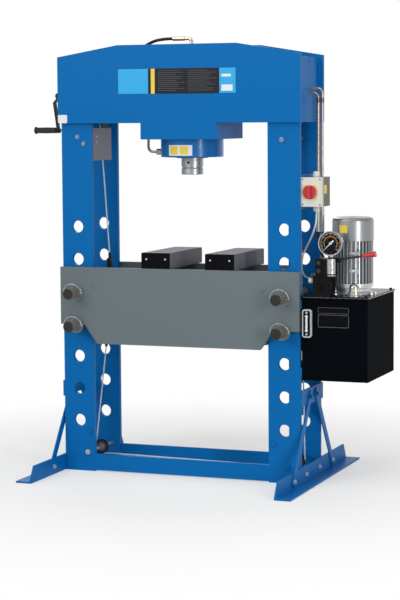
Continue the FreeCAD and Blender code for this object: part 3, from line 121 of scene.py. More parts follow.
def vectorNode(tree, operation, first, second=None):
    node = tree.nodes.new("ShaderNodeVectorMath")
    node.operation = operation
    tree.links.new(first, node.inputs[0])
    other = node.inputs["Scale"] if operation == "SCALE" else node.inputs[1]
    if isinstance(second, tuple):
        other.default_value = second
    elif second is not None:
        tree.links.new(second, other)
    return node.outputs["Value" if operation in ("LENGTH", "DOT_PRODUCT") else "Vector"]


def mixColour(tree, mask, first, second):
    mix = tree.nodes.new("ShaderNodeMix")
    mix.data_type = "RGBA"
    for index, source in ((0, mask), (6, first), (7, second)):
        if isinstance(source, (int, float, tuple)):
            mix.inputs[index].default_value = source
        else:
            tree.links.new(source, mix.inputs[index])
    return mix.outputs[2]


def rangeNode(tree, source, low, high, toLow=0.0, toHigh=1.0):
    ramp = tree.nodes.new("ShaderNodeMapRange")
    ramp.inputs["From Min"].default_value, ramp.inputs["From Max"].default_value = low, high
    ramp.inputs["To Min"].default_value, ramp.inputs["To Max"].default_value = toLow, toHigh
    tree.links.new(source, ramp.inputs["Value"])
    return ramp.outputs["Result"]


# light, floor and backdrop
studio = {
    "centre": (0.1, 0, 1.0),
    "worldLight": 0.42, "mirrorFrom": (0.45, 0.95),
    "lamps": {
        "frontLamp": {"spot": (-2.6, -5.6, 3.4), "size": (3.2, 2.6), "power": 112},
        "stripLamp": {"spot": (3.9, -3.1, 1.5), "size": (0.55, 3.4), "power": 85},
        "topLamp": {"spot": (0.2, -1.4, 4.6), "size": (3.6, 3.0), "power": 50},
        "rearLamp": {"spot": (-2.2, 4.2, 3.2), "size": (2.6, 2.6), "power": 45},
    },
    "floorRadius": 26.0, "floorSides": 64, "floorZ": -0.0005, "floorFade": (0.9, 2.3),
    "floorGlow": 0.4, "floorColour": (0.93, 0.93, 0.93, 1),
}


def addLamp(name, spot, size, power):
    lampData = bpy.data.lights.new(name, "AREA")
    lampData.shape = "RECTANGLE"
    lampData.size, lampData.size_y = size
    lampData.energy = power
    lamp = bpy.data.objects.new(name, lampData)
    scene.collection.objects.link(lamp)
    lamp.location = spot
    aim = Vector(studio["centre"]) - Vector(spot)
    lamp.rotation_euler = aim.to_track_quat("-Z", "Y").to_euler()


for lampName, lampFacts in studio["lamps"].items():
    addLamp(lampName, **lampFacts)


def backdropStrength(tree, mirrored=1.0):
    # white to the camera, through glass and in mirrors, a plain level to all else
    rays = tree.nodes.new("ShaderNodeLightPath")
    glossy = mathNode(tree, "MULTIPLY", rays.outputs["Is Glossy Ray"], mirrored)
    seen = mathNode(tree, "MAXIMUM", rays.outputs["Is Camera Ray"],
                    rays.outputs["Is Transmission Ray"])
    return rangeNode(tree, mathNode(tree, "MAXIMUM", seen, glossy), 0, 1,
                     studio["worldLight"], 1)


def addSky():
    sky = bpy.data.worlds.new("paleStudio")
    scene.world = sky
    sky.use_nodes = True
    tree = sky.node_tree
    back = tree.nodes["Background"]
    back.inputs["Color"].default_value = (1, 1, 1, 1)
    way = tree.nodes.new("ShaderNodeSeparateXYZ")
    tree.links.new(tree.nodes.new("ShaderNodeTexCoord").outputs["Generated"], way.inputs[0])
    behind = rangeNode(tree, way.outputs["Y"], *studio["mirrorFrom"])
    tree.links.new(backdropStrength(tree, behind), back.inputs["Strength"])


addSky()


def pickNone():
    if bpy.context.object and bpy.context.object.mode != "OBJECT":
        bpy.ops.object.mode_set(mode="OBJECT")
    bpy.ops.object.select_all(action="DESELECT")


def addFloor():
    pickNone()
    bpy.ops.mesh.primitive_circle_add(
        vertices=studio["floorSides"], radius=studio["floorRadius"], fill_type="NGON",
        location=(0, 0, studio["floorZ"]))
    floor = bpy.context.object
    floor.name = "studioFloor"
    paint = bpy.data.materials.new("paleFloor")
    paint.use_nodes = True
    tree = paint.node_tree
    tree.nodes.remove(tree.nodes["Principled BSDF"])
    out = tree.nodes["Material Output"]
    matt = tree.nodes.new("ShaderNodeBsdfDiffuse")
    matt.inputs["Color"].default_value = studio["floorColour"]
    glow = tree.nodes.new("ShaderNodeEmission")
    tree.links.new(backdropStrength(tree), glow.inputs["Strength"])
    mix = tree.nodes.new("ShaderNodeMixShader")
    place = tree.nodes.new("ShaderNodeTexCoord").outputs["Object"]
    reach = vectorNode(tree, "LENGTH", place)
    fade = rangeNode(tree, reach, *studio["floorFade"], studio["floorGlow"], 1)
    tree.links.new(fade, mix.inputs["Fac"])
    tree.links.new(matt.outputs["BSDF"], mix.inputs[1])
    tree.links.new(glow.outputs["Emission"], mix.inputs[2])
    tree.links.new(mix.outputs["Shader"], out.inputs["Surface"])
    floor.data.materials.append(paint)


addFloor()
print("camera, lamps and floor set")


# shader groups that several finishes share, each noise as (scale, detail, roughness)
edgeWear = {"samples": 8, "radius": 0.0012, "breaks": 60.0, "bend": (0.08, 0.3),
            "gaps": (0.42, 0.62)}
paintGrain = {"broad": (2.3, 4.0), "fine": (38.0, 3.0), "broadShare": 0.7, "fineShare": 0.3,
              "roughSwing": 0.16, "peel": (2.0, 0.4)}
brushLines = {"lines": (60.0, 4.0, 0.6), "broad": (9.0, 3.0), "broadSwing": 0.25,
              "roughShare": 0.6, "edge": 0.0008, "bump": 0.00004, "coatRough": 0.05}


def edgeGroup():
    tree, start, end = newGroup(
        "roundedEdge",
        [("Radius", "NodeSocketFloat", edgeWear["radius"]), ("Place", "NodeSocketVector", None)],
        [("Normal", "NodeSocketVector"), ("Edge", "NodeSocketFloat")])
    bevel = tree.nodes.new("ShaderNodeBevel")
    bevel.samples = edgeWear["samples"]
    face = tree.nodes.new("ShaderNodeNewGeometry")
    tree.links.new(start.outputs["Radius"], bevel.inputs["Radius"])
    along = vectorNode(tree, "DOT_PRODUCT", bevel.outputs["Normal"], face.outputs["Normal"])
    bent = mathNode(tree, "SUBTRACT", 1.0, along, True)
    broken = noiseNode(tree, start.outputs["Place"], edgeWear["breaks"])
    edge = mathNode(tree, "MULTIPLY", rangeNode(tree, bent, *edgeWear["bend"]),
                    rangeNode(tree, broken, *edgeWear["gaps"]), True)
    tree.links.new(bevel.outputs["Normal"], end.inputs["Normal"])
    tree.links.new(edge, end.inputs["Edge"])
    return tree


grainOutputs = [("Colour", "NodeSocketColor"), ("Rough", "NodeSocketFloat"),
                ("Height", "NodeSocketFloat")]


def skinGroup():
    tree, start, end = newGroup(
        "paintSkin",
        [("Place", "NodeSocketVector", None), ("Colour", "NodeSocketColor", (0.5, 0.5, 0.5, 1)),
         ("Drift", "NodeSocketFloat", 0.1), ("Peel Scale", "NodeSocketFloat", 420.0),
         ("Rough", "NodeSocketFloat", 0.3), ("Edge", "NodeSocketFloat", 0.0),
         ("Edge Colour", "NodeSocketColor", (0.2, 0.2, 0.2, 1))], grainOutputs)
    place = start.outputs["Place"]
    broad = noiseNode(tree, place, *paintGrain["broad"])
    fine = noiseNode(tree, place, *paintGrain["fine"])
    shade = mathNode(tree, "ADD", mathNode(tree, "MULTIPLY", broad, paintGrain["broadShare"]),
                     mathNode(tree, "MULTIPLY", fine, paintGrain["fineShare"]))
    swing = swingNode(tree, shade, start.outputs["Drift"])
    gain = mathNode(tree, "ADD", 1.0, mathNode(tree, "MULTIPLY", swing, 2.0))
    tinted = vectorNode(tree, "SCALE", start.outputs["Colour"], gain)
    worn = mixColour(tree, start.outputs["Edge"], tinted, start.outputs["Edge Colour"])
    rough = mathNode(tree, "ADD", start.outputs["Rough"],
                     swingNode(tree, fine, paintGrain["roughSwing"]), True)
    peel = noiseNode(tree, place, start.outputs["Peel Scale"], *paintGrain["peel"])
    tree.links.new(worn, end.inputs["Colour"])
    tree.links.new(rough, end.inputs["Rough"])
    tree.links.new(peel, end.inputs["Height"])
    return tree


def brushedGroup():
    tree, start, end = newGroup(
        "brushedGrain",
        [("Place", "NodeSocketVector", None), ("Stretch", "NodeSocketVector", (1, 1, 30)),
         ("Colour", "NodeSocketColor", (0.6, 0.6, 0.6, 1)), ("Rough", "NodeSocketFloat", 0.3),
         ("Depth", "NodeSocketFloat", 0.2)], grainOutputs)
    drawn = vectorNode(tree, "MULTIPLY", start.outputs["Place"], start.outputs["Stretch"])
    lines = noiseNode(tree, drawn, *brushLines["lines"])
    broad = noiseNode(tree, start.outputs["Place"], *brushLines["broad"])
    swing = swingNode(tree, lines, start.outputs["Depth"])
    wide = swingNode(tree, broad, brushLines["broadSwing"])
    gain = mathNode(tree, "ADD", 1.0, mathNode(tree, "ADD", swing, wide))
    tinted = vectorNode(tree, "SCALE", start.outputs["Colour"], gain)
    rough = mathNode(tree, "ADD", start.outputs["Rough"],
                     mathNode(tree, "MULTIPLY", swing, brushLines["roughShare"]), True)
    tree.links.new(tinted, end.inputs["Colour"])
    tree.links.new(rough, end.inputs["Rough"])
    tree.links.new(lines, end.inputs["Height"])
    return tree


roundedEdge = edgeGroup()
paintSkin = skinGroup()
brushedGrain = brushedGroup()


def srgb(red, green, blue):
    # sRGB values up to 255, as linear light
    return tuple(((c / 255 + 0.055) / 1.055) ** 2.4 if c > 10 else c / 255 / 12.92
                 for c in (red, green, blue)) + (1,)


def useGroup(tree, group, values):
    node = tree.nodes.new("ShaderNodeGroup")
    node.node_tree = group
    for label, setting in values.items():
        if isinstance(setting, bpy.types.NodeSocket):
            tree.links.new(setting, node.inputs[label])
        else:
            node.inputs[label].default_value = setting
    return node


def startFinish(name, metallic, coat, coatRough, specular):
    finish = bpy.data.materials.new(name)
    finish.use_nodes = True
    tree = finish.node_tree
    shader = tree.nodes["Principled BSDF"]
    for label, level in (("Metallic", metallic), ("Coat Weight", coat),
                         ("Coat Roughness", coatRough), ("Specular IOR Level", specular)):
        shader.inputs[label].default_value = level
    place = tree.nodes.new("ShaderNodeTexCoord").outputs["Object"]
    return finish, tree, shader, place


def bumpTo(tree, shader, height, distance, normal=None):
    bump = tree.nodes.new("ShaderNodeBump")
    bump.inputs["Distance"].default_value = distance
    bump.inputs["Strength"].default_value = 1.0
    tree.links.new(height, bump.inputs["Height"])
    if normal is not None:
        tree.links.new(normal, bump.inputs["Normal"])
    tree.links.new(bump.outputs["Normal"], shader.inputs["Normal"])


def pastPlane(tree, place, axis, at, near, far):
    # one colour before a plane and another behind it
    parts = tree.nodes.new("ShaderNodeSeparateXYZ")
    tree.links.new(place, parts.inputs[0])
    return mixColour(tree, mathNode(tree, "GREATER_THAN", parts.outputs[axis], at), near, far)


def grooveShade(tree, place, middle, deep, outer, dark, light):
    # painted shade: darker the nearer to an upright axis, as in the shaded grooves between fins
    level = vectorNode(tree, "MULTIPLY", vectorNode(tree, "SUBTRACT", place, middle), (1, 1, 0))
    reach = vectorNode(tree, "LENGTH", level)
    return mixColour(tree, rangeNode(tree, reach, deep, outer), dark, light)


def paintFinish(name, colour, rough=0.3, drift=0.06, peel=420.0, peelDepth=0.00006, coat=0.0,
                coatRough=0.08, metallic=0.0, edgeColour=(0.25, 0.25, 0.25, 1), wear=0.0,
                edgeRadius=0.0014, specular=0.3, edgeGloss=False, split=None, groove=None):
    finish, tree, shader, place = startFinish(name, metallic, coat, coatRough, specular)
    normal, worn = None, 0.0
    if edgeRadius:
        edge = useGroup(tree, roundedEdge, {"Radius": edgeRadius, "Place": place})
        normal = edge.outputs["Normal"]
        worn = mathNode(tree, "MULTIPLY", edge.outputs["Edge"], wear)
    if split:
        axis, at, far = split
        colour = pastPlane(tree, place, axis, at, colour, far)
    if groove:
        colour = grooveShade(tree, place, *groove, colour)
    skin = useGroup(tree, paintSkin, {
        "Place": place, "Colour": colour, "Drift": drift, "Peel Scale": peel, "Rough": rough,
        "Edge": worn, "Edge Colour": edgeColour})
    tree.links.new(skin.outputs["Colour"], shader.inputs["Base Color"])
    tree.links.new(skin.outputs["Rough"], shader.inputs["Roughness"])
    if edgeGloss:
        tree.links.new(edge.outputs["Edge"], shader.inputs["Coat Weight"])
    bumpTo(tree, shader, skin.outputs["Height"], peelDepth, normal)
    return finish


def steelFinish(name, colour, rough, stretch, depth, metallic=1.0, specular=0.5):
    finish, tree, shader, place = startFinish(name, metallic, 0.0, brushLines["coatRough"],
                                              specular)
    edge = useGroup(tree, roundedEdge, {"Radius": brushLines["edge"], "Place": place})
    grain = useGroup(tree, brushedGrain, {
        "Place": place, "Stretch": stretch, "Colour": colour, "Rough": rough, "Depth": depth})
    tree.links.new(grain.outputs["Colour"], shader.inputs["Base Color"])
    tree.links.new(grain.outputs["Rough"], shader.inputs["Roughness"])
    bumpTo(tree, shader, grain.outputs["Height"], brushLines["bump"], edge.outputs["Normal"])
    return finish


bluePaint = paintFinish("bluePaint", srgb(10, 106, 176), rough=0.36, drift=0.04, wear=0.2,
                        specular=0.06, edgeColour=srgb(92, 140, 190))
barrelPaint = paintFinish("barrelPaint", srgb(10, 106, 176), drift=0.04, wear=0.2, coat=0.5,
                          coatRough=0.2, specular=0.1, edgeColour=srgb(92, 140, 190))
greyPaint = paintFinish("greyPaint", srgb(110, 121, 125), rough=0.45, drift=0.05, wear=0.25,
                        specular=0.08, edgeColour=srgb(150, 152, 154))
tankPaint = paintFinish("tankPaint", (0.0030, 0.0040, 0.0056, 1), rough=0.24, drift=0.1,
                        wear=0.35, peel=260.0, peelDepth=0.00012, specular=0.0008,
                        edgeColour=srgb(60, 62, 66), edgeGloss=True)
lidPaint = paintFinish("lidPaint", (0.003, 0.0034, 0.0042, 1), rough=0.16, drift=0.1, wear=0.6,
                       peel=160.0, peelDepth=0.0003, edgeColour=srgb(120, 122, 126),
                       edgeRadius=0.003, specular=0.03, edgeGloss=True)
valvePaint = paintFinish("valvePaint", srgb(12, 12, 15), drift=0.12, wear=0.5,
                         edgeColour=srgb(96, 98, 100), specular=0.12, edgeGloss=True)
blockPaint = paintFinish("blockPaint", srgb(14, 13, 18), rough=0.45, drift=0.1,
                         edgeColour=srgb(120, 122, 126), wear=0.5, specular=0.04)
# painted light: the press blocks' top and side faces take lighter greys than their black front,
# for the sheen and light that fall on them; the streaks are steel grain
litBlockTop = steelFinish("blockTopSheen", srgb(92, 94, 102), rough=0.5, stretch=(30, 1.5, 1),
                       depth=0.5, metallic=0.12, specular=0.04)
litBlockSide = steelFinish("litBlockSide", srgb(112, 112, 119), rough=0.5, stretch=(1, 1.5, 20),
                        depth=0.5, metallic=0.12, specular=0.04)
pinEnd = paintFinish("oiledPinEnd", srgb(50, 46, 41), rough=0.4, drift=0.3, wear=0.5,
                     edgeColour=srgb(128, 122, 114), specular=0.2)
pinSteel = steelFinish("oiledPinSteel", srgb(122, 125, 122), rough=0.42, stretch=(1, 1, 1),
                       depth=0.9, metallic=0.3)
washerSteel = steelFinish("dullWasher", srgb(112, 118, 119), rough=0.45, stretch=(3, 3, 3),
                          depth=0.5, metallic=0.25)
zincSteel = steelFinish("zincPlate", srgb(184, 187, 184), rough=0.3, stretch=(3, 3, 3),
                        depth=0.5, metallic=0.85)
footBolt = steelFinish("footBolt", srgb(186, 194, 198), rough=0.34, stretch=(3, 3, 3),
                       depth=0.5, metallic=0.45)
boltSteel = paintFinish("boltSteel", srgb(112, 142, 170), drift=0.15, metallic=0.45, wear=0.5,
                        edgeColour=srgb(190, 196, 200))
groundSteel = steelFinish("groundSteel", srgb(166, 170, 171), rough=0.38, stretch=(1, 1, 26),
                          depth=0.3, metallic=0.9)
returnPipe = steelFinish("returnPipe", srgb(138, 128, 118), rough=0.28, stretch=(2, 2, 2),
                         depth=0.4, metallic=0.8)
darkSteel = steelFinish("machinedSteel", srgb(96, 98, 102), rough=0.35, stretch=(1, 1, 14),
                        depth=0.4, metallic=0.8)
blackSteel = steelFinish("blackenedSteel", srgb(52, 52, 55), rough=0.36, stretch=(2, 2, 8),
                         depth=0.4, metallic=0.6)
guardSheet = steelFinish("guardSheet", srgb(104, 109, 116), rough=0.42, stretch=(2, 2, 1),
                         depth=0.15, metallic=0.3, specular=0.2)
castAluminium = paintFinish("castAluminium", srgb(206, 209, 212), rough=0.34, drift=0.14,
                            peel=700.0, peelDepth=0.0002, metallic=0.75, wear=0.4,
                            edgeColour=srgb(232, 234, 236))
# painted shade darkens the grooves between the motor's fins
finAluminium = paintFinish("finAluminium", srgb(208, 211, 214), rough=0.32, drift=0.14,
                           peel=700.0, peelDepth=0.0002, metallic=0.75, edgeRadius=0.0,
                           groove=((0.772, 0, 0), 0.077, 0.088, srgb(132, 135, 139)))
cowlSteel = paintFinish("cowlPaint", srgb(156, 159, 161), rough=0.32, drift=0.05, peel=500.0,
                        metallic=0.85, edgeRadius=0.0)
# dark crank paint, also laid on the winch frame and drum as painted shade under the beam
crankPaintAndShade = paintFinish("crankPaintAndShade", srgb(30, 38, 36), rough=0.45, drift=0.15, wear=0.5,
                         edgeColour=srgb(110, 108, 100), specular=0.2)
gripRubber = paintFinish("gripRubber", srgb(40, 39, 40), rough=0.5, drift=0.15, peel=900.0,
                         peelDepth=0.0002)
leverRed = paintFinish("leverRed", srgb(202, 30, 38), rough=0.22, coat=0.4)
knobRed = paintFinish("knobRed", srgb(196, 44, 60), coat=0.5, wear=0.2,
                      edgeColour=srgb(236, 120, 130))
switchYellow = paintFinish("switchYellow", srgb(244, 202, 96), rough=0.38)
switchShell = paintFinish("switchShell", srgb(216, 219, 208), rough=0.42, drift=0.03,
                          peel=1200.0, split=("Y", -0.122, srgb(94, 91, 72)))
glandPlastic = paintFinish("glandPlastic", srgb(226, 227, 222), rough=0.4)
capChrome = steelFinish("capChrome", srgb(216, 210, 196), rough=0.16, stretch=(1, 1, 1),
                        depth=0.2)
gaugeChrome = steelFinish("gaugeChrome", srgb(186, 188, 190), rough=0.2, stretch=(1, 6, 1),
                          depth=0.25)
# black dial paint, also used as painted shade in the ram nose's set-screw hole
dialBlackAndShade = paintFinish("dialBlackAndShade", srgb(14, 14, 16), rough=0.5, specular=0.05)
dialWhite = paintFinish("dialWhite", srgb(232, 234, 232), rough=0.4)
needleWhite = paintFinish("needleWhite", srgb(206, 222, 238), rough=0.35)
dialAmber = paintFinish("dialAmber", srgb(206, 142, 52), rough=0.4)
sightWhite = paintFinish("sightWhite", srgb(222, 226, 224), coat=0.3)
sightPlastic = paintFinish("sightPlastic", srgb(188, 192, 192), rough=0.22, coat=0.3,
                           metallic=0.3, wear=0.3, edgeColour=srgb(236, 238, 238))
pipeSteel = steelFinish("tarnishedPipe", srgb(196, 176, 154), rough=0.3, stretch=(20, 20, 1),
                        depth=0.35, metallic=0.8)
brassFitting = steelFinish("paleBrass", srgb(226, 208, 180), rough=0.26, stretch=(4, 4, 4),
                           depth=0.3, metallic=0.8)
brownUnion = steelFinish("brownUnion", srgb(126, 104, 84), rough=0.35, stretch=(4, 4, 4),
                         depth=0.4, metallic=0.7)
hoseRubber = paintFinish("hoseRubber", srgb(30, 30, 32), rough=0.5, peel=1500.0,
                         peelDepth=0.0003)
cablePlastic = paintFinish("cableSheath", srgb(236, 238, 236), rough=0.42, peel=900.0)
decalCyan = paintFinish("decalCyan", srgb(36, 170, 228), drift=0.02)
decalBlack = paintFinish("decalBlack", srgb(30, 31, 38), specular=0.15)
labelGrey = paintFinish("labelGrey", srgb(126, 128, 134), rough=0.35, drift=0.02)
decalYellow = paintFinish("decalYellow", srgb(236, 206, 78), rough=0.35, drift=0.02)
decalWhite = paintFinish("decalWhite", srgb(230, 234, 236), rough=0.35, drift=0.02)
gasketBlack = paintFinish("gasketBlack", srgb(12, 12, 14), rough=0.16, coat=1.0, specular=0.5,
                          coatRough=0.1)
plateInk = paintFinish("plateInk", srgb(12, 13, 16), rough=0.14, coat=0.04, specular=0.02)
plateLine = paintFinish("plateLine", srgb(104, 105, 108))


ropeLook = {"metallic": 0.4, "coatRough": 0.1, "specular": 0.5, "strands": 95.0, "waver": 0.3,
            "dark": srgb(176, 182, 188), "light": srgb(236, 240, 244), "rough": 0.34,
            "depth": 0.0006}
glassLook = {"ior": 1.12, "smearScale": 30.0, "smear": (0.3, 0.8, 0.0, 0.08)}


def ropeFinish(look):
    finish, tree, shader, place = startFinish("strandedRope", look["metallic"], 0.0,
                                              look["coatRough"], look["specular"])
    wave = tree.nodes.new("ShaderNodeTexWave")
    wave.wave_type = "BANDS"
    wave.bands_direction = "DIAGONAL"
    wave.inputs["Scale"].default_value = look["strands"]
    wave.inputs["Distortion"].default_value = look["waver"]
    tree.links.new(place, wave.inputs["Vector"])
    colour = mixColour(tree, wave.outputs["Fac"], look["dark"], look["light"])
    tree.links.new(colour, shader.inputs["Base Color"])
    shader.inputs["Roughness"].default_value = look["rough"]
    bumpTo(tree, shader, wave.outputs["Fac"], look["depth"])
    return finish


def glassFinish(look):
    finish = bpy.data.materials.new("gaugeGlass")
    finish.use_nodes = True
    tree = finish.node_tree
    shader = tree.nodes["Principled BSDF"]
    shader.inputs["Base Color"].default_value = (1, 1, 1, 1)
    shader.inputs["Transmission Weight"].default_value = 1.0
    shader.inputs["IOR"].default_value = look["ior"]
    place = tree.nodes.new("ShaderNodeTexCoord").outputs["Object"]
    smear = rangeNode(tree, noiseNode(tree, place, look["smearScale"]), *look["smear"])
    tree.links.new(smear, shader.inputs["Roughness"])
    return finish


wireRope = ropeFinish(ropeLook)
gaugeGlass = glassFinish(glassLook)
print("finishes mixed:", len(bpy.data.materials))


# finishes on the CAD nodes: one for the node, others for the faces that a test picks
def dress(node, finish, *others):
    mesh = nodes[node].data
    mesh.materials.clear()
    mesh.materials.append(finish)
    for index, (other, test) in enumerate(others, 1):
        mesh.materials.append(other)
        for face in mesh.polygons:
            if test(face.center, face.normal):
                face.material_index = index


def fromForwardAxis(c, x, z):
    return math.hypot(c.x - x, c.z - z)


def fromUprightAxis(c, x, y):
    return math.hypot(c.x - x, c.y - y)


finishes = {
    bluePaint: ("left_front_flat", "left_rear_flat", "right_front_flat", "right_rear_flat",
                "beam_front_plate", "beam_rear_plate", "beam_end_plates", "beam_ribs",
                "cylinder_block", "tie_bars", "left_foot", "right_foot",
                "foot_braces", "column_webs"),
    greyPaint: ("bolster_front_plate", "bolster_rear_plate", "bolster_spacers"),
    barrelPaint: ("cylinder_barrel",),
    darkSteel: ("gland_nut", "cylinder_cap"),
    groundSteel: ("ram",),
    # the winch frame and drum under the beam take the crank's dark paint: partly their dark
    # steel, partly painted shade from the beam
    crankPaintAndShade: ("winch_crank", "winch_frame", "winch_drum", "rope_anchors"),
    gripRubber: ("crank_grip",),
    wireRope: ("lift_rope", "levelling_rope"),
    tankPaint: ("oil_tank",),
    valvePaint: ("valve_base",),
    castAluminium: ("pump_flange",),
    finAluminium: ("motor",),
    cowlSteel: ("motor_cowl",),
    gaugeChrome: ("pressure_gauge",),
    needleWhite: ("gauge_needle",),
    knobRed: ("switch_knob",),
    glandPlastic: ("cable_glands",),
}
for finish, names in finishes.items():
    for name in names:
        dress(name, finish)

# a pin's shank, its dark front end, its washer and its clip
pins = {"names": {"upper_left_pin": -0.5, "lower_left_pin": -0.5,
                  "upper_right_pin": 0.5, "lower_right_pin": 0.5},
        "shank": 0.0253, "shankFrom": -0.1, "washer": 0.045, "washerFrom": -0.205,
        "end": -0.2765}


def dressPin(name, x):
    heights = [v.co.z for v in nodes[name].data.vertices if v.co.y > pins["shankFrom"]]
    z = (min(heights) + max(heights)) / 2

    def onShank(c):
        return fromForwardAxis(c, x, z) < pins["shank"]

    dress(name, pinSteel,
          (pinEnd, lambda c, n: onShank(c) and c.y < pins["end"]),
          (washerSteel, lambda c, n: not onShank(c) and c.y > pins["washerFrom"]
           and fromForwardAxis(c, x, z) < pins["washer"]),
          (zincSteel, lambda c, n: not onShank(c) and c.y < pins["washerFrom"]))


for pinName, pinX in pins["names"].items():
    dressPin(pinName, pinX)

# black rims and bright hubs on the rope pulleys
pulleys = {"names": ("base_left_pulley", "base_right_pulley", "top_right_pulley"),
           "hubShare": 0.62}


def dressPulley(name):
    low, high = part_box(name)
    x, z = (low[0] + high[0]) / 2, (low[2] + high[2]) / 2
    hub = (high[2] - low[2]) / 2 * pulleys["hubShare"]
    dress(name, blackSteel, (zincSteel, lambda c, n: fromForwardAxis(c, x, z) < hub))


for pulleyName in pulleys["names"]:
    dressPulley(pulleyName)

# where a second finish begins on a node
noseHoleShade = {"x": 0.008, "z": 1.430, "radius": 0.0064, "front": -0.03}
fillerCap = {"x": 0.812, "y": -0.118, "base": 0.8663, "collar": 0.04, "collarFrom": 0.8465}
gaugePort = {"x": 0.722, "y": -0.172, "radius": 0.0198, "from": -0.153}
leverPivot = {"x": 0.741, "z": 1.007, "grip": 0.1135}
knobPlate = {"z": 1.304, "half": 0.0315, "front": -0.1474, "screws": 0.050}
pressBlock = {"topFacing": 0.6, "sideFacing": 0.9, "endPlate": -0.2}


def zone(**limits):
    # a test for faces whose middles lie past each From and short of each To
    def test(c, n):
        return all(getattr(c, key[0]) > at if key.endswith("From") else getattr(c, key[0]) < at
                   for key, at in limits.items())
    return test


returnLine = zone(xTo=-0.1, zTo=1.6)
# the lighter top and side faces of the press blocks are painted light
for name in ("press_block_left", "press_block_right"):
    dress(name, blockPaint, (litBlockTop, lambda c, n: n.z > pressBlock["topFacing"]),
          (litBlockSide, lambda c, n: abs(n.x) > pressBlock["sideFacing"]
           and c.y > pressBlock["endPlate"]))
# the set-screw hole in the ram nose is painted black: painted shade in the hole
dress("ram_nose", groundSteel, (dialBlackAndShade, lambda c, n: c.y < noseHoleShade["front"]
      and fromForwardAxis(c, noseHoleShade["x"], noseHoleShade["z"]) < noseHoleShade["radius"]))
dress("frame_bolts", bluePaint, (boltSteel, zone(zFrom=1.45)), (footBolt, zone(zTo=0.12)))
dress("pulley_axles", zincSteel, (footBolt, zone(xTo=-0.3, yTo=-0.155)),
      (boltSteel, zone(zFrom=1.4)), (bluePaint, zone(xFrom=0.3, zTo=0.3)))
dress("tank_lid", lidPaint, (zincSteel, lambda c, n: c.z > fillerCap["collarFrom"]
      and fromUprightAxis(c, fillerCap["x"], fillerCap["y"]) < fillerCap["collar"]))
dress("valve_manifold", valvePaint, (zincSteel, lambda c, n: c.y < gaugePort["from"]
      and fromUprightAxis(c, gaugePort["x"], gaugePort["y"]) < gaugePort["radius"]))
dress("valve_lever", blackSteel, (leverRed, lambda c, n: fromForwardAxis(
    c, leverPivot["x"], leverPivot["z"]) > leverPivot["grip"]))
dress("switch_box", switchShell, (switchYellow, lambda c, n: c.y < knobPlate["front"]
      and abs(c.z - knobPlate["z"]) < knobPlate["half"]),
      (washerSteel, lambda c, n: c.y < knobPlate["front"]
       and abs(c.z - knobPlate["z"]) > knobPlate["screws"]))
dress("sight_gauge", sightPlastic, (dialBlackAndShade, zone(
    xFrom=0.6005, xTo=0.6195, yFrom=-0.1755, zFrom=0.6815, zTo=0.7605)))
dress("rope_guard", guardSheet, (zincSteel, zone(xFrom=-0.4245)))
dress("steel_pipes", pipeSteel, (returnPipe, returnLine))
dress("hydraulic_fittings", darkSteel, (zincSteel, zone(xFrom=0.5, zTo=1.5)),
      (brassFitting, zone(zFrom=1.95)), (brownUnion, zone(xFrom=0.5, zFrom=1.6)),
      (returnPipe, returnLine))
print("CAD nodes finished")

# modelling helpers: new pieces ride on the frame unless a body is named
forward, upward, leftward = (math.pi / 2, 0, 0), (0, 0, 0), (0, -math.pi / 2, 0)
meshing = {"merge": 0.00001, "smoothUnder": 32, "cornerSteps": 5, "turnedSides": 48,
           "wrapSides": 360}


def startPiece(name):
    piece = bpy.context.object
    piece.name = piece.data.name = name
    return piece


def makeActive(piece):
    pickNone()
    piece.select_set(True)
    bpy.context.view_layer.objects.active = piece


def editAll():
    bpy.ops.object.mode_set(mode="EDIT")
    bpy.ops.mesh.select_all(action="SELECT")


def editDone():
    bpy.ops.object.mode_set(mode="OBJECT")


def pullOut(offset):
    bpy.ops.mesh.extrude_region_move(TRANSFORM_OT_translate={"value": offset})


def settle(piece, finish, body="frame"):
    makeActive(piece)
    bpy.ops.object.transform_apply()
    editAll()
    bpy.ops.mesh.remove_doubles(threshold=meshing["merge"])
    bpy.ops.mesh.normals_make_consistent(inside=False)
    editDone()
    bpy.ops.object.shade_smooth_by_angle(angle=math.radians(meshing["smoothUnder"]))
    piece.data.materials.clear()
    piece.data.materials.append(finish)
    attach(piece, body)
    pickNone()
    return piece


def thicken(piece, thickness):
    makeActive(piece)
    wall = piece.modifiers.new("wall", "SOLIDIFY")
    wall.thickness, wall.offset = thickness, 1.0
    bpy.ops.object.modifier_apply(modifier=wall.name)


def startPlate(name, xs, zs, y, corner):
    # an upright rectangle with rounded corners, left in edit mode
    pickNone()
    bpy.ops.mesh.primitive_plane_add(size=1, rotation=forward, location=(
        (xs[0] + xs[1]) / 2, y, (zs[0] + zs[1]) / 2))
    piece = startPiece(name)
    piece.scale = (xs[1] - xs[0], zs[1] - zs[0], 1)
    bpy.ops.object.transform_apply()
    editAll()
    if corner:
        bpy.ops.mesh.bevel(affect="VERTICES", offset=corner, segments=meshing["cornerSteps"])
    return piece


def card(name, xs, zs, y, thick, corner, finish, swing=None):
    # a thin plate on a face that looks forward, or swung to the side by (angle, spot)
    piece = startPlate(name, xs, zs, y, corner)
    pullOut((0, -thick, 0))
    editDone()
    if swing:
        piece.rotation_euler = (0, 0, swing[0])
        piece.location = swing[1]
    return settle(piece, finish)


def frameLine(name, xs, zs, y, corner, width, thick, finish):
    # a rounded outline as wide as its inset
    piece = startPlate(name, xs, zs, y, corner)
    bpy.ops.mesh.inset(thickness=width)
    bpy.ops.mesh.delete(type="FACE")
    editDone()
    thicken(piece, thick)
    return settle(piece, finish)


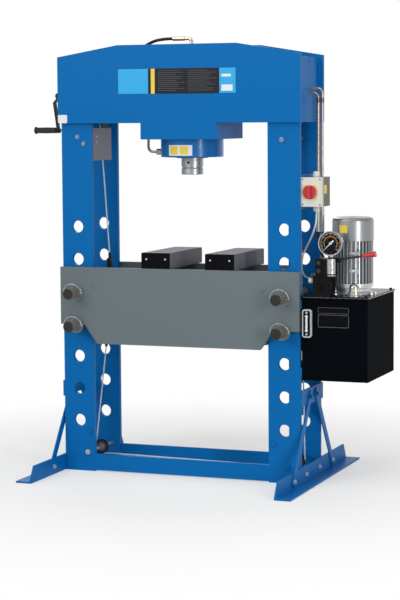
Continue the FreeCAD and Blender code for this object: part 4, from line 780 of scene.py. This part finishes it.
def turnedPiece(name, steps, spot, turn, finish, body="frame", sides=meshing["turnedSides"],
                slot=None):
    # a round piece pulled up from a disc, one (radius, height) after another
    pickNone()
    bpy.ops.mesh.primitive_circle_add(vertices=sides, radius=steps[0][0], fill_type="NGON",
                                      location=(0, 0, 0))
    piece = startPiece(name)
    editAll()
    bpy.ops.transform.translate(value=(0, 0, steps[0][1]))
    for (radius, height), (nextRadius, nextHeight) in zip(steps, steps[1:]):
        pullOut((0, 0, nextHeight - height))
        ratio = nextRadius / radius
        bpy.ops.transform.resize(value=(ratio, ratio, 1), center_override=(0, 0, 0))
    editDone()
    piece.rotation_euler = turn
    piece.location = spot
    return settle(piece, finish, body)


def turnedRow(name, steps, spots, turn, finish, **options):
    for number, spot in enumerate(spots):
        turnedPiece("%s%d" % (name, number), steps, spot, turn, finish, **options)


def wrapCard(name, middle, radius, angles, zs, thick, finish):
    # a thin label bent round the front of an upright cylinder
    pickNone()
    bpy.ops.mesh.primitive_cylinder_add(vertices=meshing["wrapSides"], radius=radius,
                                        depth=zs[1] - zs[0], end_fill_type="NOTHING",
                                        location=(middle, 0, (zs[0] + zs[1]) / 2))
    piece = startPiece(name)
    bpy.ops.object.mode_set(mode="EDIT")
    bpy.ops.mesh.select_mode(type="FACE")
    bpy.ops.mesh.select_all(action="DESELECT")
    editDone()
    for face in piece.data.polygons:
        angle = math.degrees(math.atan2(face.center.x, -face.center.y))
        face.select = not angles[0] < angle < angles[1]
    bpy.ops.object.mode_set(mode="EDIT")
    bpy.ops.mesh.delete(type="FACE")
    editDone()
    thicken(piece, thick)
    return settle(piece, finish)


def joinPieces(name, pieces, finish):
    pickNone()
    for piece in pieces:
        piece.select_set(True)
    bpy.context.view_layer.objects.active = pieces[0]
    bpy.ops.object.join()
    return settle(startPiece(name), finish)


# flexible lines, each on the route that its CAD tube follows
lineShape = {"along": 24, "round": 5, "order": 3}
hose = {"radius": 0.007, "node": "hydraulic_hoses", "finish": hoseRubber,
        "stiffness": "stiff"}
lines = {
    "pressureHose": {
        "points": [(-0.300, 0, 1.815), (-0.300, 0, 1.8687), (-0.2717, 0, 1.9242),
                   (-0.2150, 0, 1.9689), (-0.1496, 0, 1.994), (-0.082, 0, 1.994)],
        "length": 0.323, **hose},
    "nearHose": {
        "points": [(0.600, 0.035, 1.119), (0.600, 0.035, 1.074), (0.6192, 0.015, 1.025),
                   (0.6512, -0.025, 0.985), (0.664, -0.058, 0.975), (0.664, -0.098, 0.975)],
        "length": 0.240, **hose},
    "farHose": {
        "points": [(0.619, 0.035, 1.119), (0.619, 0.035, 1.074), (0.6403, 0.015, 1.045),
                   (0.6758, -0.025, 1.005), (0.690, -0.058, 0.995), (0.690, -0.098, 0.995)],
        "length": 0.227, **hose},
    "powerCable": {
        "points": [(0.627, -0.080, 1.216), (0.627, -0.080, 1.1753), (0.6137, -0.080, 1.1256),
                   (0.5899, -0.080, 1.0736), (0.5668, -0.080, 1.0329), (0.557, -0.080, 0.990),
                   (0.5582, -0.080, 0.9428), (0.5832, -0.080, 0.915), (0.618, -0.080, 0.915)],
        "radius": 0.004, "length": 0.355, "node": "power_cable",
        "finish": cablePlastic, "stiffness": "medium"},
}


def flexibleLine(name, points, radius, length, node, finish, stiffness):
    curve = bpy.data.curves.new(name, "CURVE")
    curve.dimensions = "3D"
    curve.resolution_u = lineShape["along"]
    curve.bevel_depth = radius
    curve.bevel_resolution = lineShape["round"]
    spline = curve.splines.new("NURBS")
    spline.points.add(len(points) - 1)
    for knot, spot in zip(spline.points, points):
        knot.co = (*spot, 1)
    spline.order_u = lineShape["order"]
    spline.use_endpoint_u = True
    piece = bpy.data.objects.new(name, curve)
    scene.collection.objects.link(piece)
    curve.materials.append(finish)
    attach(piece, "frame")
    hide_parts(node)


for lineName, lineFacts in lines.items():
    flexibleLine(lineName, **lineFacts)
print("hoses and cable laid")

# flat label fields on the beam, and a sticker on the column
labels = {
    "front": -0.1785, "thick": 0.0004, "inset": 0.001, "corner": 0.002,
    "cyan": [(-0.281, -0.134), (0.207, 0.284)], "black": (-0.134, 0.207), "blackCorner": 0.007,
    "strip": (-0.121, -0.102), "stripInset": 0.0005, "height": (1.742, 1.855),
    "panels": [((0.217, 0.262), (1.815, 1.827)), ((0.217, 0.270), (1.752, 1.780))],
    "sticker": ((-0.583, -0.537), (1.612, 1.650)), "stickerCorner": 0.006,
}
labelLow, labelHigh = labels["height"]
labelTop = labels["front"] - 2 * labels["thick"]
for number, xs in enumerate(labels["cyan"]):
    card("labelCyan%d" % number, xs, (labelLow + labels["inset"], labelHigh - labels["inset"]),
         labels["front"], labels["thick"], labels["corner"], decalCyan)
card("labelBlack", labels["black"], labels["height"], labels["front"], 2 * labels["thick"],
     labels["blackCorner"], decalBlack)
card("labelStrip", labels["strip"],
     (labelLow + labels["stripInset"], labelHigh - labels["stripInset"]), labelTop,
     labels["thick"], 0, decalYellow)
for number, (xs, zs) in enumerate(labels["panels"]):
    card("labelPanel%d" % number, xs, zs, labels["front"] - labels["thick"], labels["thick"],
         labels["corner"], decalWhite)
card("cornerSticker", *labels["sticker"], labels["front"], labels["thick"],
     labels["stickerCorner"], decalWhite)

# grey rules of uneven length on the black field
ruleRows = {"columns": [(-0.088, 0.042), (0.056, 0.192)], "rows": 11, "high": 1.8440,
            "pitch": 0.0088, "wide": 0.0011, "thick": 0.0002,
            "share": 0.84, "swing": 0.16, "rowTurn": 2.3, "columnTurn": 5}
ruleCards = []
for column, (left, right) in enumerate(ruleRows["columns"]):
    for row in range(ruleRows["rows"]):
        z = ruleRows["high"] - ruleRows["pitch"] * row
        share = ruleRows["share"] + ruleRows["swing"] * math.sin(
            ruleRows["rowTurn"] * row + ruleRows["columnTurn"] * column)
        ruleCards.append(card("rule", (left, left + (right - left) * share),
                              (z, z + ruleRows["wide"]), labelTop, ruleRows["thick"], 0,
                              labelGrey))
joinPieces("labelRules", ruleCards, labelGrey)
print("labels on the beam")

# label with two plain squares on the barrel, and a square on the cowl
barrelLabel = {"middle": 0.008, "radius": 0.1441, "angles": (-26, 21), "zs": (1.463, 1.511),
               "thick": 0.0005, "squares": [(-22.5, -6.5), (-2.5, 13.5)],
               "squareProud": 0.0004, "squareZs": (1.469, 1.505)}
wrapCard("barrelLabel", barrelLabel["middle"], barrelLabel["radius"], barrelLabel["angles"],
         barrelLabel["zs"], barrelLabel["thick"], decalWhite)
for number, angles in enumerate(barrelLabel["squares"]):
    wrapCard("barrelPatch%d" % number, barrelLabel["middle"],
             barrelLabel["radius"] + barrelLabel["squareProud"], angles,
             barrelLabel["squareZs"], barrelLabel["thick"], decalYellow)
cowlPatch = {"middle": 0.772, "radius": 0.0922, "angles": (-24, 0), "zs": (1.123, 1.157),
             "thick": 0.0005}
wrapCard("cowlPatch", finish=decalYellow, **cowlPatch)

# bolster plugs
plug = {"xs": (-0.410, 0.410), "z": 0.868, "front": -0.186,
        "steps": [(0.011, 0), (0.011, 0.0015), (0.0085, 0.003), (0.004, 0.0032),
                  (0.0035, 0.0012)]}
turnedRow("bolsterPlug", plug["steps"], [(x, plug["front"], plug["z"]) for x in plug["xs"]],
          forward, greyPaint, body="bolster", sides=32, slot="grey_paint")

# bright screws in the press blocks' end holes
blockScrew = {"middles": (-0.105, 0.204), "reach": 0.046, "front": -0.1786, "z": 0.9952,
              "steps": [(0.0046, 0), (0.0046, 0.0012), (0.0036, 0.0020), (0.0012, 0.0020)]}
for number, middle in enumerate(blockScrew["middles"]):
    for side, word in ((-1, "Left"), (1, "Right")):
        turnedPiece("blockScrew%d%s" % (number, word), blockScrew["steps"],
                    (middle + side * blockScrew["reach"], blockScrew["front"], blockScrew["z"]),
                    forward, footBolt, "bolster", sides=20)
print("bolster plugs and block screws in")

# pressure gauge: dial, marks, numbers and glass
dial = {
    "x": 0.722, "z": 1.082, "face": -0.1800, "radius": 0.0495, "thick": 0.0006, "hole": 0.0028,
    "start": 225, "sweep": 270, "marks": 50, "longEvery": 5, "markOuter": 0.0465,
    "markInner": 0.0425, "markWidth": 0.0009, "longInner": 0.0395, "longWidth": 0.0016,
    "markThick": 0.0003, "scaleMarks": 32, "scaleFrom": 0.05, "scaleShare": 0.9,
    "scaleInner": 0.0275, "scaleOuter": 0.0328, "scaleWidth": 0.0017,
    "figures": 7, "figureStep": 10, "figureRadius": 0.0360, "figureSize": 0.0068,
    "figureRise": 0.0007, "figureThick": 0.0001, "glass": -0.1870,
    "glassSteps": [(0.0496, 0), (0.0496, 0.001)], "sides": 64,
}


def dialAngle(share):
    # from the lower left, clockwise
    return math.radians(dial["start"] - dial["sweep"] * share)


turnedPiece("dialFace", [(dial["radius"], 0), (dial["radius"], dial["thick"]),
                         (dial["hole"], dial["thick"])],
            (dial["x"], dial["face"], dial["z"]), forward, dialBlackAndShade, sides=dial["sides"])


def dialMark(name, angle, inner, outer, width):
    pickNone()
    bpy.ops.mesh.primitive_plane_add(size=1)
    mark = startPiece(name)
    mark.scale = (outer - inner, width, 1)
    bpy.ops.object.transform_apply()
    editAll()
    pullOut((0, 0, dial["markThick"]))
    editDone()
    mark.matrix_world = (Matrix.Translation((dial["x"], dial["face"] - dial["thick"], dial["z"]))
                         @ Matrix.Rotation(math.pi / 2, 4, "X")
                         @ Matrix.Rotation(angle, 4, "Z")
                         @ Matrix.Translation(((inner + outer) / 2, 0, 0)))
    return mark


marks = []
for number in range(dial["marks"] + 1):
    size = "mark" if number % dial["longEvery"] else "long"
    marks.append(dialMark("mark", dialAngle(number / dial["marks"]), dial[size + "Inner"],
                          dial["markOuter"], dial[size + "Width"]))
joinPieces("dialMarks", marks, dialWhite)
amber = [dialMark("amber", dialAngle(dial["scaleFrom"]
                                     + dial["scaleShare"] * number / dial["scaleMarks"]),
                  dial["scaleInner"], dial["scaleOuter"], dial["scaleWidth"])
         for number in range(dial["scaleMarks"] + 1)]
joinPieces("dialScale", amber, dialAmber)

figures = []
for number in range(dial["figures"]):
    angle = dialAngle(number / (dial["figures"] - 1))
    pickNone()
    bpy.ops.object.text_add(location=(
        dial["x"] + dial["figureRadius"] * math.cos(angle), dial["face"] - dial["figureRise"],
        dial["z"] + dial["figureRadius"] * math.sin(angle)), rotation=forward)
    figure = bpy.context.object
    figure.data.body = str(number * dial["figureStep"])
    figure.data.size = dial["figureSize"]
    figure.data.align_x, figure.data.align_y = "CENTER", "CENTER"
    figure.data.extrude = dial["figureThick"]
    bpy.ops.object.convert(target="MESH")
    figures.append(bpy.context.object)
joinPieces("dialFigures", figures, dialAmber)
turnedPiece("gaugeGlass", dial["glassSteps"], (dial["x"], dial["glass"], dial["z"]), forward,
            gaugeGlass, sides=dial["sides"])
print("gauge dial drawn")

# small parts on the valve: (radius, height) steps along each part's own way
valve = {
    "plugSteps": [(0.0150, 0), (0.0150, 0.008), (0.0135, 0.0105), (0.0075, 0.0105),
                  (0.0065, 0.0050)],
    "plugs": [(0.6620, -0.158, 0.884), (0.6980, -0.158, 0.884)],
    "hexSteps": [(0.0100, 0), (0.0112, 0.0010), (0.0112, 0.0075), (0.0098, 0.0090)],
    "hexes": [(0.6680, -0.178, 0.960), (0.6680, -0.178, 0.995)],
    "ringSteps": [(0.0196, 0), (0.0215, 0.0012), (0.0215, 0.0048), (0.0196, 0.0060)],
    "rings": [0.9420, 0.9640, 0.9900],
    "nutSteps": [(0.0125, 0), (0.0140, 0.0010), (0.0140, 0.0085), (0.0125, 0.0095)],
    "nut": (0.722, -0.172, 1.0130),
    "studSteps": [(0.0065, 0), (0.0075, 0.0008), (0.0075, 0.0060), (0.0062, 0.0070)],
    "studs": [(0.6400, -0.1500, 0.9380), (0.6400, -0.0860, 0.9380)],
}
turnedRow("valvePlug", valve["plugSteps"], valve["plugs"], forward, valvePaint, sides=32)
turnedRow("valveHex", valve["hexSteps"], valve["hexes"], forward, blackSteel, sides=6)
for number, z in enumerate(valve["rings"]):
    turnedPiece("portRing%d" % number, valve["ringSteps"], (gaugePort["x"], gaugePort["y"], z),
                upward, zincSteel if number else blackSteel)
turnedPiece("gaugeNut", valve["nutSteps"], valve["nut"], upward, blackSteel, sides=6)
turnedRow("valveStud", valve["studSteps"], valve["studs"], upward, zincSteel, sides=6)

# filler cap, a turned dome with grooves, in place of the plain one
fillerCap["steps"] = [(0.0195, 0), (0.0230, 0.0012), (0.0230, 0.0085), (0.0205, 0.0100),
                      (0.0205, 0.0125), (0.0228, 0.0140), (0.0228, 0.0200), (0.0215, 0.0250),
                      (0.0180, 0.0290), (0.0120, 0.0318), (0.0050, 0.0330)]
cap = turnedPiece("fillerCap", fillerCap["steps"],
                  (fillerCap["x"], fillerCap["y"], fillerCap["base"]), upward, capChrome,
                  "filler_cap")
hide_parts("filler_cap")

# bolts that hold the pump's flange to the lid
flangeBolts = {"x": 0.772, "y": 0, "reach": 0.0985, "foot": 0.846, "count": 10, "turn": 18,
               "steps": [(0.0072, 0), (0.0080, 0.0008), (0.0080, 0.0070), (0.0066, 0.0084)]}
for number in range(flangeBolts["count"]):
    angle = math.radians(flangeBolts["turn"] + 360 * number / flangeBolts["count"])
    turnedPiece("flangeBolt%d" % number, flangeBolts["steps"],
                (flangeBolts["x"] + flangeBolts["reach"] * math.cos(angle),
                 flangeBolts["y"] + flangeBolts["reach"] * math.sin(angle),
                 flangeBolts["foot"]), upward, zincSteel, sides=6)

# sight gauge: dark window with its tube and two screws
sight = {"x": 0.610, "front": -0.1761, "xs": (0.5948, 0.6252), "zs": (0.6690, 0.7810),
         "thick": 0.0004, "corner": 0.006, "tubeProud": 0.0030, "tubeFoot": 0.6880,
         "tube": [(0.0050, 0), (0.0068, 0.0010), (0.0068, 0.0080), (0.0052, 0.0095),
                  (0.0052, 0.0650), (0.0068, 0.0665), (0.0068, 0.0735), (0.0050, 0.0745)],
         "screwZs": (0.6775, 0.7725), "screw": [(0.0056, 0), (0.0060, 0.0010), (0.0050, 0.0028),
                                                (0.0018, 0.0028), (0.0016, 0.0014)]}
card("sightWindow", sight["xs"], sight["zs"], sight["front"], sight["thick"], sight["corner"],
     plateInk)
turnedPiece("sightTube", sight["tube"],
            (sight["x"], sight["front"] - sight["tubeProud"], sight["tubeFoot"]), upward,
            sightWhite, sides=24)
turnedRow("sightScrew", sight["screw"], [(sight["x"], sight["front"], z)
                                         for z in sight["screwZs"]],
          forward, zincSteel, sides=24)

# white plug with a steel elbow nut at the valve's left
sidePlug = {"spot": (0.632, -0.130, 0.9120), "nut": (0.6225, -0.130, 0.9230),
            "steps": [(0.0090, 0), (0.0105, 0.0010), (0.0105, 0.0090), (0.0125, 0.0100),
                      (0.0125, 0.0220), (0.0105, 0.0250), (0.0050, 0.0255)],
            "nutSteps": [(0.0075, 0), (0.0085, 0.0010), (0.0085, 0.0090), (0.0062, 0.0100),
                         (0.0062, 0.0170), (0.0072, 0.0178), (0.0072, 0.0220),
                         (0.0050, 0.0230)]}
turnedPiece("sidePlug", sidePlug["steps"], sidePlug["spot"], leftward, glandPlastic, sides=32)
turnedPiece("sideNut", sidePlug["nutSteps"], sidePlug["nut"], upward, darkSteel, sides=24)

# lumpy sealing bead under the lid's front and right edges
bead = {"runs": {"lidBeadFront": ((0.5850, -0.1632, 0.8400), 0.302, (0, math.pi / 2, 0)),
                 "lidBeadSide": ((0.8875, -0.1620, 0.8400), 0.438, (-math.pi / 2, 0, 0))},
        "pitch": 0.005, "radius": 0.0022, "swing": 0.0011, "waves": (1.7, 0.61), "shift": 1,
        "sides": 12}


def beadSteps(length):
    count = round(length / bead["pitch"])
    quick, slow = bead["waves"]
    return [(bead["radius"] + bead["swing"] * math.sin(quick * n)
             * math.sin(slow * n + bead["shift"]), length * n / count)
            for n in range(count + 1)]


for beadName, (spot, length, turn) in bead["runs"].items():
    turnedPiece(beadName, beadSteps(length), spot, turn, gasketBlack, sides=bead["sides"])

# bolted pads between the motor's fins
motorPads = {"xs": (0.782, 0.826), "y": -0.0885, "zs": (0.9560, 1.0330), "height": 0.013,
             "thick": 0.0060, "corner": 0.003, "screwXs": (0.790, 0.818),
             "screw": [(0.0050, 0), (0.0052, 0.0012), (0.0042, 0.0030), (0.0016, 0.0030),
                       (0.0014, 0.0018)]}
for number, z in enumerate(motorPads["zs"]):
    half = motorPads["height"] / 2
    card("motorPad%d" % number, motorPads["xs"], (z - half, z + half), motorPads["y"],
         motorPads["thick"], motorPads["corner"], castAluminium)
    turnedRow("padScrew%d" % number, motorPads["screw"],
              [(x, motorPads["y"] - motorPads["thick"], z) for x in motorPads["screwXs"]],
              forward, zincSteel, sides=16)

# plain yellow field on the switch box's right side
sidePatch = {"xs": (-0.022, 0.022), "zs": (1.296, 1.334), "y": 0, "thick": 0.0004,
             "corner": 0.002, "swing": (math.pi / 2, (0.6721, -0.094, 0))}
card("switchPatch", finish=decalYellow, **sidePatch)
print("small parts on the power unit in")

# plate and frame lines on the tank
tankPlate = {"xs": (0.655, 0.802), "zs": (0.706, 0.800), "y": -0.160, "thick": 0.0008,
             "corner": 0.006}
plateLines = {"plateFrame": {"zs": (0.709, 0.765), "width": 0.0018},
              "plateHeader": {"zs": (0.771, 0.797), "width": 0.0012}}
lineFit = {"xs": (0.658, 0.799), "y": -0.1608, "corner": 0.005, "thick": 0.0006}
card("tankPlate", finish=plateInk, **tankPlate)
for outlineName, outlineFacts in plateLines.items():
    frameLine(outlineName, finish=plateLine, **outlineFacts, **lineFit)
print("small plates on")
